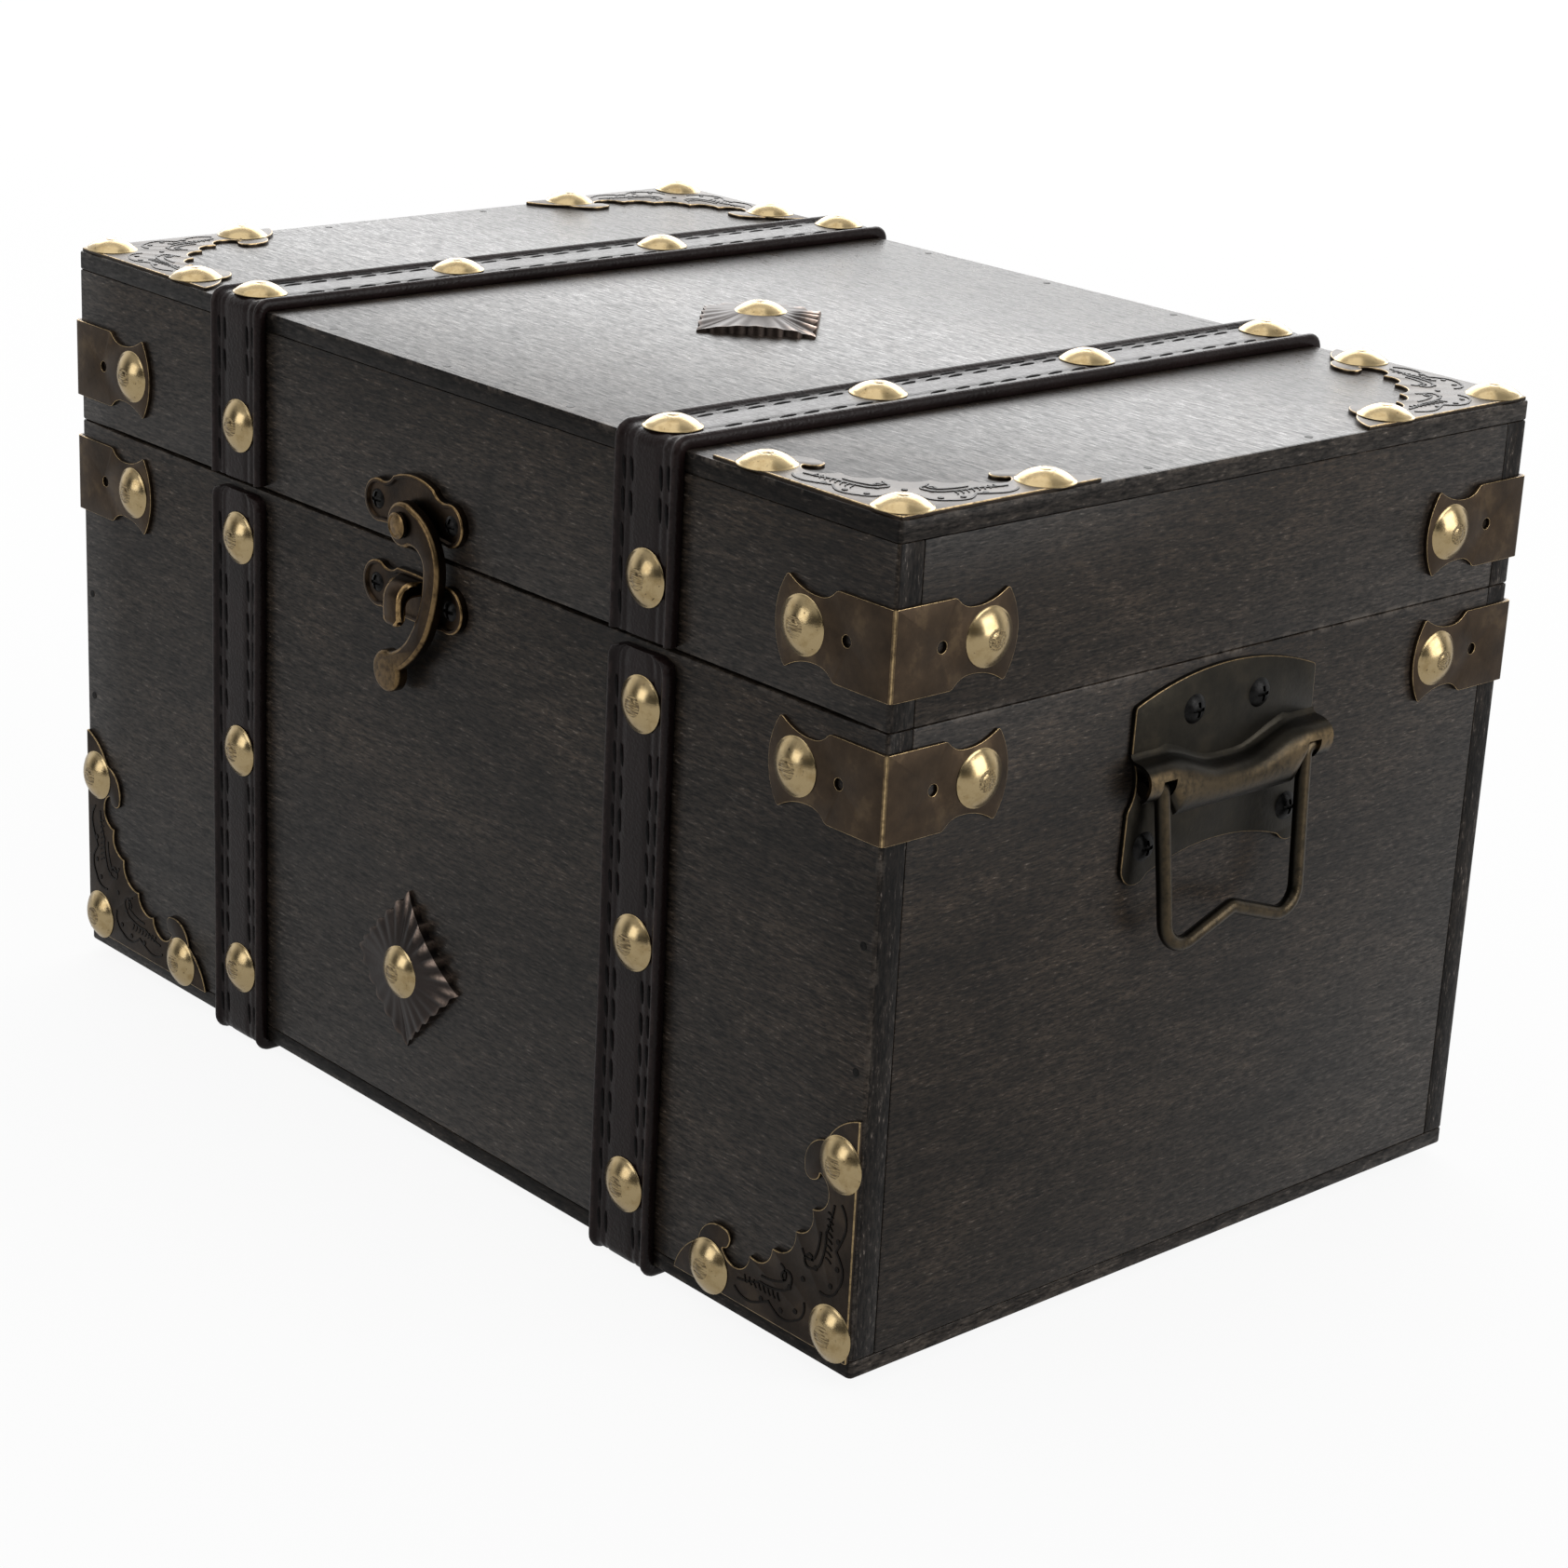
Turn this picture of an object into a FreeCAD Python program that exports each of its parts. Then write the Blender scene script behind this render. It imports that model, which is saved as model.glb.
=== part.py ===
import FreeCAD, Part
import math
import os

# Small wooden chest with a flat hinged lid, two leather straps, domed nails and bronze fittings.
# Millimetres. X is the width, Y the depth with the front at -Y, Z is up from the floor.
# Heights on the front, back and ends are measured from the underside of the wood.

# Case
CASE_WIDTH = 260.0
CASE_DEPTH = 171.0
CASE_HEIGHT = 161.0
SEAM_HEIGHT = 123.6
SEAM_GAP = 0.7
BOARD = 6.0
TOP_PANEL = 4.0
BOTTOM_PANEL = 3.5
CORNER_ROUND = 1.0
EDGE_ROUND = 0.8

# Leather straps
STRAP_WIDTH = 17.6
STRAP_THICKNESS = 2.6
STRAP_BEND = 3.4
STRAP_X = 66.0
STRAP_FRONT_GAP = 1.2
STRAP_BACK_GAP = 5.0

# Domed nails
NAIL_RADIUS = 5.6
NAIL_DOME = 2.3
NAIL_SHANK_RADIUS = 0.9
NAIL_POINT = 1.4
NAIL_SINK = 0.6
NAIL_GRIP_BOARD = 5.0
NAIL_GRIP_PANEL = 3.5
STRAP_NAIL_SHIFT = 1.0
TOP_STRAP_NAIL_SHIFT = -0.5
LID_STRAP_NAIL_HEIGHT = 136.0
BASE_STRAP_NAIL_HEIGHTS = (112.0, 65.0, 15.0)
TOP_STRAP_NAIL_DEPTHS = (-81.0, -30.5, 26.5, 80.5)

# Corner brackets, bent round the four upright corners of the base and of the lid
BRACKET_SHEET = 0.8
BRACKET_LEG = 29.3
BRACKET_HALF_HEIGHT = 8.3
BRACKET_BAND = 14.0
BRACKET_WAIST = 6.1
BRACKET_WAIST_FROM_CORNER = 18.3
BRACKET_TIP = 26.5
BRACKET_TIP_HALF_HEIGHT = 8.6
BRACKET_HOLE_RADIUS = 1.15
BRACKET_HOLE_FROM_CORNER = 11.0
BRACKET_NAIL_FROM_CORNER = 22.0
LID_BRACKET_HEIGHT = 137.5
BASE_BRACKET_HEIGHT = 111.7

# Scalloped corner plates, on the four corners of the top and the two lower corners of the front
PLATE_SHEET = 0.7
PLATE_LEG = 48.5
PLATE_INSET = 0.5
PLATE_RISE = 3.0
PLATE_NAILS = ((4.6, 4.6), (38.5, 4.2), (4.2, 38.5))

# Pleated diamond bosses
BOSS_HALF_DIAGONAL = 17.2
BOSS_PLEATS_PER_SIDE = 6
BOSS_RIM = 0.6
BOSS_PLEAT_DEPTH = 1.2
BOSS_CROWN_RADIUS = 4.0
BOSS_CROWN = 3.2
BOSS_NAIL_SEAT = 2.6
FRONT_BOSS = (-5.5, 34.5)
TOP_BOSS = (0.5, -3.0)

# Swing-hook latch on the front
LATCH_X = -4.4
LATCH_SHEET = 1.2
LATCH_SCREW_SPREAD = 12.1
LATCH_PLATE_HEIGHT = 131.5
LATCH_PIVOT_HEIGHT = 129.4
LATCH_BOSS_RADIUS = 3.6
LATCH_BOSS = 1.9
LATCH_ARM_BACK = 2.2
LATCH_ARM_FRONT = 4.6
LATCH_HUB_RADIUS = 4.6
LATCH_PAD_RADIUS = 4.3
LATCH_ARM_ROUND = 0.5
RIVET_RADIUS = 1.6
RIVET_CLEARANCE = 0.05
RIVET_HEAD_RADIUS = 2.7
RIVET_HEAD = 1.0
RIVET_GAP = 0.3
CATCH_HEIGHT = 114.4
CATCH_TONGUE_WIDTH = 6.8

# Drop handle on each end
HANDLE_Y = 1.0
HANDLE_AXIS_HEIGHT = 102.5
HANDLE_AXIS_OUT = 4.2
HANDLE_SHEET = 1.0
BARREL_ABOVE = 4.8
BARREL_BELOW = 6.5
BARREL_ROUND = 2.0
BARREL_OUT = 6.6
BARREL_HALF_LENGTH = 25.5
BARREL_MIDDLE = 16.8
BARREL_SAG = 3.6
BARREL_WALL = 1.0
EAR_BELOW = 2.7
SLOT_INNER = 18.1
SLOT_OUTER = 22.1
SLOT_BACK = 2.4
SLOT_TOP = 2.4
BAIL_WIRE_RADIUS = 1.5
BAIL_CLEARANCE = 0.05
BAIL_POINTS = ((25.2, 0.0), (20.0, 0.0), (18.2, -33.6), (0.0, -27.4))
BAIL_BENDS = (1.7, 5.0, 2.6)
BAIL_LEAN = 5.0
HANDLE_SCREWS = ((9.0, 11.8), (-9.0, 11.8), (20.0, -13.0), (-20.0, -13.0))

# Butt hinges on the back
HINGE_X = 36.0
HINGE_OUT = 2.3
HINGE_HALF_LENGTH = 12.5
HINGE_LEAF = 14.0
HINGE_SHEET = 0.9
HINGE_KNUCKLE_RADIUS = 2.0
HINGE_MIDDLE_KNUCKLE = 4.0
HINGE_KNUCKLE_GAP = 0.3
HINGE_LEAF_CLEARANCE = 2.4
HINGE_PIN_RADIUS = 0.95
HINGE_RUNNING_CLEARANCE = 0.05
HINGE_FIXED_CLEARANCE = 0.02
HINGE_SCREW_X = 8.0
HINGE_SCREW_FROM_AXIS = 9.0

# Small fasteners
SCREW_HEAD_RADIUS = 2.4
HANDLE_SCREW_HEAD_RADIUS = 2.9
SCREW_HEAD = 1.3
SCREW_SHANK_RADIUS = 1.1
SCREW_GRIP = 4.6
SCREW_SINK = 0.7
SCREW_CROSS = (3.0, 0.7, 0.7)
BRAD_HEAD_RADIUS = 0.8
BRAD_HEAD = 0.6
BRAD_SHANK_RADIUS = 0.5
BRAD_LENGTH = 11.0
BRAD_PROUD = 0.05
BRAD_INSET = 3.0
TOP_BRAD_X = (-38.0, 0.0, 38.0)
TOP_BRAD_Y = (-22.0, 22.0)
FRONT_BRAD_HEIGHTS = (60.0, 84.0)
BOTTOM_BRAD_X = (-100.0, -36.0, 36.0, 100.0)

# Values worked out from those above
WOOD_Z = STRAP_THICKNESS
SEAM_Z = WOOD_Z + SEAM_HEIGHT
TOP_Z = WOOD_Z + CASE_HEIGHT
BASE_RIM_Z = SEAM_Z - SEAM_GAP / 2
LID_RIM_Z = SEAM_Z + SEAM_GAP / 2
HALF_WIDTH = CASE_WIDTH / 2
HALF_DEPTH = CASE_DEPTH / 2
NAIL_ON_STRAP = STRAP_THICKNESS - NAIL_SINK
OVERLAP = 0.5
SIDES = {"left": -1, "right": 1}

V = FreeCAD.Vector
ORIGIN = V(0, 0, 0)
X_AXIS = V(1, 0, 0)
Y_AXIS = V(0, 1, 0)
Z_AXIS = V(0, 0, 1)


def face_frame(origin, across, upward):
    """Placement whose local X, Y and Z run across, up and out of one face of the case."""
    outward = across.cross(upward)
    return FreeCAD.Placement(origin, FreeCAD.Rotation(across, upward, outward, "ZXY"))


FRONT = face_frame(V(0, -HALF_DEPTH, WOOD_Z), X_AXIS, Z_AXIS)
BACK = face_frame(V(0, HALF_DEPTH, WOOD_Z), -X_AXIS, Z_AXIS)
TOP = face_frame(V(0, 0, TOP_Z), X_AXIS, Y_AXIS)
UNDERSIDE = face_frame(V(0, 0, WOOD_Z), -X_AXIS, Y_AXIS)
ENDS = {
    "right": face_frame(V(HALF_WIDTH, HANDLE_Y, WOOD_Z), Y_AXIS, Z_AXIS),
    "left": face_frame(V(-HALF_WIDTH, HANDLE_Y, WOOD_Z), -Y_AXIS, Z_AXIS),
}
CORNERS = {
    "front_right": (1, -1, 0),
    "back_right": (1, 1, 90),
    "back_left": (-1, 1, 180),
    "front_left": (-1, -1, 270),
}


def put(shape, frame, across=0.0, up=0.0, out=0.0, spin=0.0):
    """Copy of a shape set on a face of the case, spun about the face's outward direction."""
    placed = shape.copy()
    local = FreeCAD.Placement(V(across, up, out), FreeCAD.Rotation(Z_AXIS, spin))
    placed.Placement = frame.multiply(local).multiply(shape.Placement)
    return placed


def box(low, high):
    """Box between two corners."""
    size = V(*high) - V(*low)
    return Part.makeBox(size.x, size.y, size.z, V(*low))


def disc(radius, low, high, across=0.0, up=0.0):
    """Round piece standing along Z from low to high."""
    return Part.makeCylinder(radius, high - low, V(across, up, low), Z_AXIS)


def rounded(shape, radius, chosen):
    """Shape with its chosen edges rounded; chosen looks at the middle of each edge."""
    edges = [edge for edge in shape.Edges if chosen(edge.CenterOfMass)]
    return shape.makeFillet(radius, edges)


def near(value, target):
    """True where a coordinate lies on a target plane."""
    return abs(value - target) < 0.01


def outline(start, moves):
    """Face in the XY plane: a move is an end point, or a pair (through, end) for an arc."""
    edges = []
    here = V(*start)
    for move in moves:
        if isinstance(move[0], tuple):
            end = V(*move[1])
            edges.append(Part.Arc(here, V(*move[0]), end).toShape())
        else:
            end = V(*move)
            edges.append(Part.LineSegment(here, end).toShape())
        here = end
    if here.distanceToPoint(V(*start)) > 1e-6:
        edges.append(Part.LineSegment(here, V(*start)).toShape())
    return Part.Face(Part.Wire(edges))


def there_and_back(start, moves, flip, bridge=None):
    """Half an outline, an arc through bridge across the mirror line, and the half run back through flip."""
    path = list(moves)
    starts = [start] + [move[1] if isinstance(move[0], tuple) else move for move in moves]
    if bridge:
        path.append((bridge, flip(starts[-1])))
    else:
        path.append(flip(starts[-1]))
    for move, begin in zip(reversed(moves), reversed(starts[:-1])):
        if isinstance(move[0], tuple):
            path.append((flip(move[0]), flip(begin)))
        else:
            path.append(flip(begin))
    return path


def mirror_across(point):
    """Point mirrored left to right."""
    return (-point[0], point[1])


def mirror_up(point):
    """Point mirrored top to bottom."""
    return (point[0], -point[1])


def mirror_diagonal(point):
    """Point mirrored in the diagonal of a square corner."""
    return (point[1], point[0])


def thickened(face, thickness, base=0.0):
    """Plate made from a flat face, its back at base."""
    plate = face.extrude(V(0, 0, thickness))
    plate.translate(V(0, 0, base))
    return plate


def turned(start, moves):
    """Solid turned about Z from a half outline of (radius, height) points."""
    half = outline(start, moves)
    half.rotate(ORIGIN, X_AXIS, 90)
    return half.revolve(ORIGIN, Z_AXIS, 360)


def section(start, moves, across):
    """Closed wire of (outward, up) points, standing across X at one place."""
    face = outline(start, moves)
    face.rotate(ORIGIN, Y_AXIS, -90)
    face.translate(V(across, 0, 0))
    return face.OuterWire


def without(shape, *groups):
    """Shape with the pieces of each group cut out where their boxes meet it."""
    tools = [piece for group in groups for piece in group if shape.BoundBox.intersect(piece.BoundBox)]
    return shape.cut(tools) if tools else shape


def dome_moves(radius, height):
    """Arc from the crown of a dome down to its rim at height zero."""
    sphere = (radius ** 2 + height ** 2) / (2 * height)
    half_angle = math.asin(radius / sphere) / 2
    through = (sphere * math.sin(half_angle), height - sphere + sphere * math.cos(half_angle))
    return (through, (radius, 0.0))


def domed_nail(grip):
    """Domed nail: the rim of its head at Z = 0, its point grip below."""
    shank = [(NAIL_SHANK_RADIUS, 0.0), (NAIL_SHANK_RADIUS, NAIL_POINT - grip), (0.0, -grip)]
    return turned((0.0, NAIL_DOME), [dome_moves(NAIL_RADIUS, NAIL_DOME)] + shank)


def cross_screw(grip, head_radius=SCREW_HEAD_RADIUS):
    """Pan-head screw with a cross recess: its head seats at Z = 0, its point is grip below."""
    shank = [(SCREW_SHANK_RADIUS, 0.0), (SCREW_SHANK_RADIUS, SCREW_SHANK_RADIUS - grip), (0.0, -grip)]
    screw = turned((0.0, SCREW_HEAD), [dome_moves(head_radius, SCREW_HEAD)] + shank)
    length, width, depth = SCREW_CROSS
    floor = SCREW_HEAD - depth
    slot = box((-length / 2, -width / 2, floor), (length / 2, width / 2, SCREW_HEAD))
    cross = slot.copy()
    cross.rotate(ORIGIN, Z_AXIS, 90)
    return screw.cut([slot, cross])


def brad():
    """Panel brad set flush: its head's top at Z = 0."""
    return disc(BRAD_HEAD_RADIUS, -BRAD_HEAD, 0.0).fuse(disc(BRAD_SHANK_RADIUS, -BRAD_LENGTH, -BRAD_HEAD))


# Fasteners, placed first because every hole is cut to them

def strap_nails():
    """Nails through the straps, as (on the base, on the lid)."""
    on_board = domed_nail(NAIL_ON_STRAP + NAIL_GRIP_BOARD)
    on_panel = domed_nail(NAIL_ON_STRAP + NAIL_GRIP_PANEL)
    base = []
    lid = []
    for side in SIDES.values():
        across = side * STRAP_X + STRAP_NAIL_SHIFT
        across_top = side * STRAP_X + TOP_STRAP_NAIL_SHIFT
        for height in BASE_STRAP_NAIL_HEIGHTS:
            base.append(put(on_board, FRONT, across, height, NAIL_ON_STRAP))
            base.append(put(on_board, BACK, -across, height, NAIL_ON_STRAP))
        lid.append(put(on_board, FRONT, across, LID_STRAP_NAIL_HEIGHT, NAIL_ON_STRAP))
        lid.append(put(on_board, BACK, -across, LID_STRAP_NAIL_HEIGHT, NAIL_ON_STRAP))
        for depth in TOP_STRAP_NAIL_DEPTHS:
            lid.append(put(on_panel, TOP, across_top, depth, NAIL_ON_STRAP))
    return base, lid


def corner_frame(corner, height):
    """Placement at an upright corner of the case, turned so that the wood lies at -X and +Y of it."""
    side, depth, spin = CORNERS[corner]
    place = V(side * HALF_WIDTH, depth * HALF_DEPTH, WOOD_Z + height)
    return FreeCAD.Placement(place, FreeCAD.Rotation(Z_AXIS, spin))


def bracket_nails(height):
    """Nails on both legs of the four corner brackets at one height."""
    nail = domed_nail(BRACKET_SHEET + NAIL_GRIP_BOARD)
    first_leg = face_frame(V(-BRACKET_NAIL_FROM_CORNER, -BRACKET_SHEET, 0), X_AXIS, Z_AXIS)
    second_leg = face_frame(V(BRACKET_SHEET, BRACKET_NAIL_FROM_CORNER, 0), Y_AXIS, Z_AXIS)
    nails = []
    for corner in CORNERS:
        frame = corner_frame(corner, height)
        nails.append(put(nail, frame.multiply(first_leg)))
        nails.append(put(nail, frame.multiply(second_leg)))
    return nails


def top_plate_places():
    """Corner of the top to the (across, up, spin) of its scalloped plate."""
    across = HALF_WIDTH - PLATE_INSET
    up = HALF_DEPTH - PLATE_INSET
    return {
        "front_left": (-across, -up, 0),
        "front_right": (across, -up, 90),
        "back_right": (across, up, 180),
        "back_left": (-across, up, 270),
    }


def front_plate_places():
    """Lower corner of the front to the (across, up, spin) of its scalloped plate."""
    across = HALF_WIDTH - PLATE_INSET
    return {"left": (-across, PLATE_RISE, 0), "right": (across, PLATE_RISE, 90)}


def plate_nails(frame, places, grip):
    """Three nails on each scalloped plate of a face."""
    nail = domed_nail(PLATE_SHEET + grip)
    nails = []
    for across, up, spin in places.values():
        for along, beside in PLATE_NAILS:
            seat = nail.copy()
            seat.translate(V(along, beside, PLATE_SHEET))
            nails.append(put(seat, frame, across, up, 0.0, spin))
    return nails


def latch_screws(height):
    """Two screws sunk a little into one of the latch's plates."""
    screw = cross_screw(SCREW_GRIP + SCREW_SINK)
    return [put(screw, FRONT, LATCH_X + side * LATCH_SCREW_SPREAD, height, SCREW_SINK) for side in SIDES.values()]


def hinge_screws(direction):
    """Two screws in each hinge leaf, above the axis for direction 1 and below for -1."""
    screw = cross_screw(SCREW_GRIP + HINGE_SHEET)
    height = SEAM_HEIGHT + direction * HINGE_SCREW_FROM_AXIS
    screws = []
    for hinge in SIDES.values():
        for end in SIDES.values():
            across = hinge * HINGE_X + end * HINGE_SCREW_X
            screws.append(put(screw, BACK, across, height, HINGE_SHEET))
    return screws


def handle_screws(end):
    """Four screws of one handle plate."""
    screw = cross_screw(SCREW_GRIP + HANDLE_SHEET, HANDLE_SCREW_HEAD_RADIUS)
    return [put(screw, ENDS[end], across, HANDLE_AXIS_HEIGHT + up, HANDLE_SHEET) for across, up in HANDLE_SCREWS]


def lid_brads():
    """Brads down through the top panel into the rails."""
    nail = brad()
    brads = []
    for side in SIDES.values():
        for across in TOP_BRAD_X:
            brads.append(put(nail, TOP, across, side * (HALF_DEPTH - BRAD_INSET), BRAD_PROUD))
        for depth in TOP_BRAD_Y:
            brads.append(put(nail, TOP, side * (HALF_WIDTH - BRAD_INSET), depth, BRAD_PROUD))
    return brads


def base_brads():
    """Brads through the front and back boards into the end boards, and up through the bottom panel."""
    nail = brad()
    brads = []
    for side in SIDES.values():
        across = side * (HALF_WIDTH - BRAD_INSET)
        for height in FRONT_BRAD_HEIGHTS:
            brads.append(put(nail, FRONT, across, height, BRAD_PROUD))
            brads.append(put(nail, BACK, across, height, BRAD_PROUD))
        for across in BOTTOM_BRAD_X:
            brads.append(put(nail, UNDERSIDE, across, side * (HALF_DEPTH - BRAD_INSET), BRAD_PROUD))
    return brads


# Wood

def long_board(side, low, high, rim):
    """Front (side -1) or back (side 1) board, full width, rounded at its ends and along its seam edge."""
    outer = side * HALF_DEPTH
    inner = side * (HALF_DEPTH - BOARD)
    board = box((-HALF_WIDTH, min(outer, inner), low), (HALF_WIDTH, max(outer, inner), high))
    board = rounded(board, CORNER_ROUND, lambda at: near(abs(at.x), HALF_WIDTH) and near(at.y, outer))
    return rounded(board, EDGE_ROUND, lambda at: near(at.z, rim) and near(at.y, outer))


def end_board(side, low, high, rim):
    """Left (side -1) or right (side 1) board, fitted between the long boards."""
    outer = side * HALF_WIDTH
    inner = side * (HALF_WIDTH - BOARD)
    reach = HALF_DEPTH - BOARD
    board = box((min(outer, inner), -reach, low), (max(outer, inner), reach, high))
    return rounded(board, EDGE_ROUND, lambda at: near(at.z, rim) and near(at.x, outer))


def panel(low, high, rim):
    """Top or bottom panel, flush with the boards, rounded at its corners and outer edges."""
    sheet = box((-HALF_WIDTH, -HALF_DEPTH, low), (HALF_WIDTH, HALF_DEPTH, high))
    sheet = rounded(sheet, CORNER_ROUND, lambda at: near(abs(at.x), HALF_WIDTH) and near(abs(at.y), HALF_DEPTH))
    return rounded(sheet, EDGE_ROUND, lambda at: near(at.z, rim))


# Straps

def strap(side, ends, turn, wood):
    """Strap of one side round the outside of the case.

    ends are the heights of its front and back ends, turn its outer height where it crosses the case
    and wood the height of the wood there.
    """
    out = HALF_DEPTH + STRAP_THICKNESS
    front_end, back_end = ends
    toward = 1 if front_end > turn else -1
    corner = turn + toward * STRAP_BEND
    part_way = STRAP_BEND * (1 - math.sqrt(0.5))
    moves = [
        (-out, corner),
        ((-out + part_way, turn + toward * part_way), (-out + STRAP_BEND, turn)),
        (out - STRAP_BEND, turn),
        ((out - part_way, turn + toward * part_way), (out, corner)),
        (out, back_end),
        (HALF_DEPTH, back_end),
        (HALF_DEPTH, wood),
        (-HALF_DEPTH, wood),
        (-HALF_DEPTH, front_end),
    ]
    band = outline((-out, front_end), moves)
    band.rotate(ORIGIN, X_AXIS, 90)
    band.rotate(ORIGIN, Z_AXIS, 90)
    band.translate(V(side * STRAP_X - STRAP_WIDTH / 2, 0, 0))
    return band.extrude(V(STRAP_WIDTH, 0, 0))


# Bronze fittings

def bracket_leg():
    """One leg of a corner bracket, from just past the corner to its bowed end, lying along +X."""
    half = [
        (BRACKET_BAND, -BRACKET_HALF_HEIGHT),
        ((16.0, -6.6), (BRACKET_WAIST_FROM_CORNER, -BRACKET_WAIST)),
        ((22.8, -6.7), (BRACKET_TIP, -BRACKET_TIP_HALF_HEIGHT)),
    ]
    start = (-BRACKET_SHEET, -BRACKET_HALF_HEIGHT)
    face = outline(start, there_and_back(start, half, mirror_up, (BRACKET_LEG, 0.0)))
    leg = thickened(face, BRACKET_SHEET)
    hole = disc(BRACKET_HOLE_RADIUS, 0.0, BRACKET_SHEET, BRACKET_HOLE_FROM_CORNER)
    return leg.cut(hole)


def corner_bracket():
    """Bent bracket round one upright corner, with the wood at -X and +Y of the corner line."""
    leg = bracket_leg()
    along_front = put(leg, face_frame(ORIGIN, -X_AXIS, -Z_AXIS))
    along_end = put(leg, face_frame(ORIGIN, Y_AXIS, Z_AXIS))
    bent = along_front.fuse(along_end).removeSplitter()
    return rounded(bent, BRACKET_SHEET, lambda at: near(at.x, BRACKET_SHEET) and near(at.y, -BRACKET_SHEET))


def scalloped_plate():
    """Ornamental plate in the corner of +X and +Y: two leaf-tipped legs and a scalloped inner edge."""
    half = [
        (PLATE_LEG, 0.0),
        ((46.2, 4.7), (41.8, 8.4)),
        ((38.9, 12.9), (34.6, 13.6)),
        ((32.9, 12.6), (32.9, 10.9)),
        ((33.7, 9.8), (34.9, 9.5)),
        ((31.6, 7.0), (27.2, 11.1)),
        ((23.0, 11.4), (21.1, 15.1)),
    ]
    moves = there_and_back((0.0, 0.0), half, mirror_diagonal, (16.5, 16.5))
    return thickened(outline((0.0, 0.0), moves), PLATE_SHEET)


def diamond_boss():
    """Pleated square stamping standing on one corner, its sides lifted, rising to a crown under its nail."""
    pleats = 4 * BOSS_PLEATS_PER_SIDE * 2
    rim = []
    foot = []
    crown = []
    for step in range(pleats):
        angle = 2 * math.pi * step / pleats
        square = BOSS_HALF_DIAGONAL / (abs(math.cos(angle)) + abs(math.sin(angle)))
        ridge = step % 2 == 0
        reach = square if ridge else square - BOSS_PLEAT_DEPTH
        raised = BOSS_PLEAT_DEPTH * abs(math.sin(2 * angle))
        height = BOSS_RIM + raised if ridge else BOSS_RIM
        top = BOSS_CROWN if ridge else BOSS_CROWN - BOSS_PLEAT_DEPTH / 3
        unit = V(math.cos(angle), math.sin(angle), 0)
        rim.append(unit * reach + V(0, 0, height))
        foot.append(unit * reach)
        crown.append(unit * BOSS_CROWN_RADIUS + V(0, 0, top))
    middle = V(0, 0, BOSS_CROWN)
    faces = [Part.Face(Part.makePolygon(foot + foot[:1]))]
    for step in range(pleats):
        after = (step + 1) % pleats
        corners = [
            (foot[step], foot[after], rim[after], rim[step]),
            (rim[step], rim[after], crown[step]),
            (rim[after], crown[after], crown[step]),
            (crown[step], crown[after], middle),
        ]
        faces += [Part.Face(Part.makePolygon(list(points) + [points[0]])) for points in corners]
    return Part.Solid(Part.makeShell(faces))


def latch_plate():
    """Winged plate on the lid with a raised boss under the pivot."""
    half = [
        ((3.2, -4.6), (6.0, -4.0)),
        (10.6, -4.3),
        ((16.1, 0.0), (10.8, 4.3)),
        ((8.2, 4.6), (6.6, 6.0)),
    ]
    start = (0.0, -4.8)
    face = outline(start, there_and_back(start, half, mirror_across, (0.0, 7.4)))
    plate = put(thickened(face, LATCH_SHEET), FRONT, LATCH_X, LATCH_PLATE_HEIGHT)
    boss = disc(LATCH_BOSS_RADIUS, 0.0, LATCH_BOSS)
    return plate.fuse(put(boss, FRONT, LATCH_X, LATCH_PIVOT_HEIGHT)).removeSplitter()


def latch_catch():
    """Winged plate on the base with a tongue that stands out and bends down."""
    half = [
        (6.0, -5.0),
        (10.2, -4.6),
        ((16.4, 0.0), (10.2, 4.6)),
        ((8.0, 3.8), (5.0, 4.8)),
    ]
    start = (0.0, -5.0)
    face = outline(start, there_and_back(start, half, mirror_across))
    tongue = section((OVERLAP, 4.0), [
        (3.2, 4.0),
        ((5.8, 2.8), (6.8, 0.0)),
        (6.8, -4.4),
        ((5.7, -5.4), (4.6, -4.4)),
        (4.6, -1.0),
        ((3.9, 0.2), (2.8, 0.5)),
        (OVERLAP, 0.5),
    ], -CATCH_TONGUE_WIDTH / 2)
    bar = Part.Face(tongue).extrude(V(CATCH_TONGUE_WIDTH, 0, 0))
    catch = thickened(face, LATCH_SHEET).fuse(bar).removeSplitter()
    return put(catch, FRONT, LATCH_X, CATCH_HEIGHT)


def latch_arm():
    """C-shaped swing hook: a hub on the pivot, a bowed arm round the tongue and a finger pad."""
    bow = outline((2.4, 3.8), [
        ((12.2, -9.4), (9.0, -20.6)),
        ((5.4, -25.4), (-0.2, -29.4)),
        (-3.2, -27.0),
        ((1.4, -24.4), (4.0, -20.2)),
        ((7.4, -9.2), (1.2, -4.4)),
    ])
    thickness = LATCH_ARM_FRONT - LATCH_ARM_BACK
    arm = thickened(bow, thickness, LATCH_ARM_BACK)
    hub = disc(LATCH_HUB_RADIUS, LATCH_ARM_BACK, LATCH_ARM_FRONT)
    pad = disc(LATCH_PAD_RADIUS, LATCH_ARM_BACK, LATCH_ARM_FRONT, -4.6, -31.0)
    arm = arm.fuse([hub, pad]).removeSplitter()
    arm = rounded(arm, LATCH_ARM_ROUND, lambda at: near(at.z, LATCH_ARM_FRONT))
    arm = arm.cut(disc(RIVET_RADIUS + RIVET_CLEARANCE, 0.0, LATCH_ARM_FRONT + OVERLAP))
    return put(arm, FRONT, LATCH_X, LATCH_PIVOT_HEIGHT)


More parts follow.
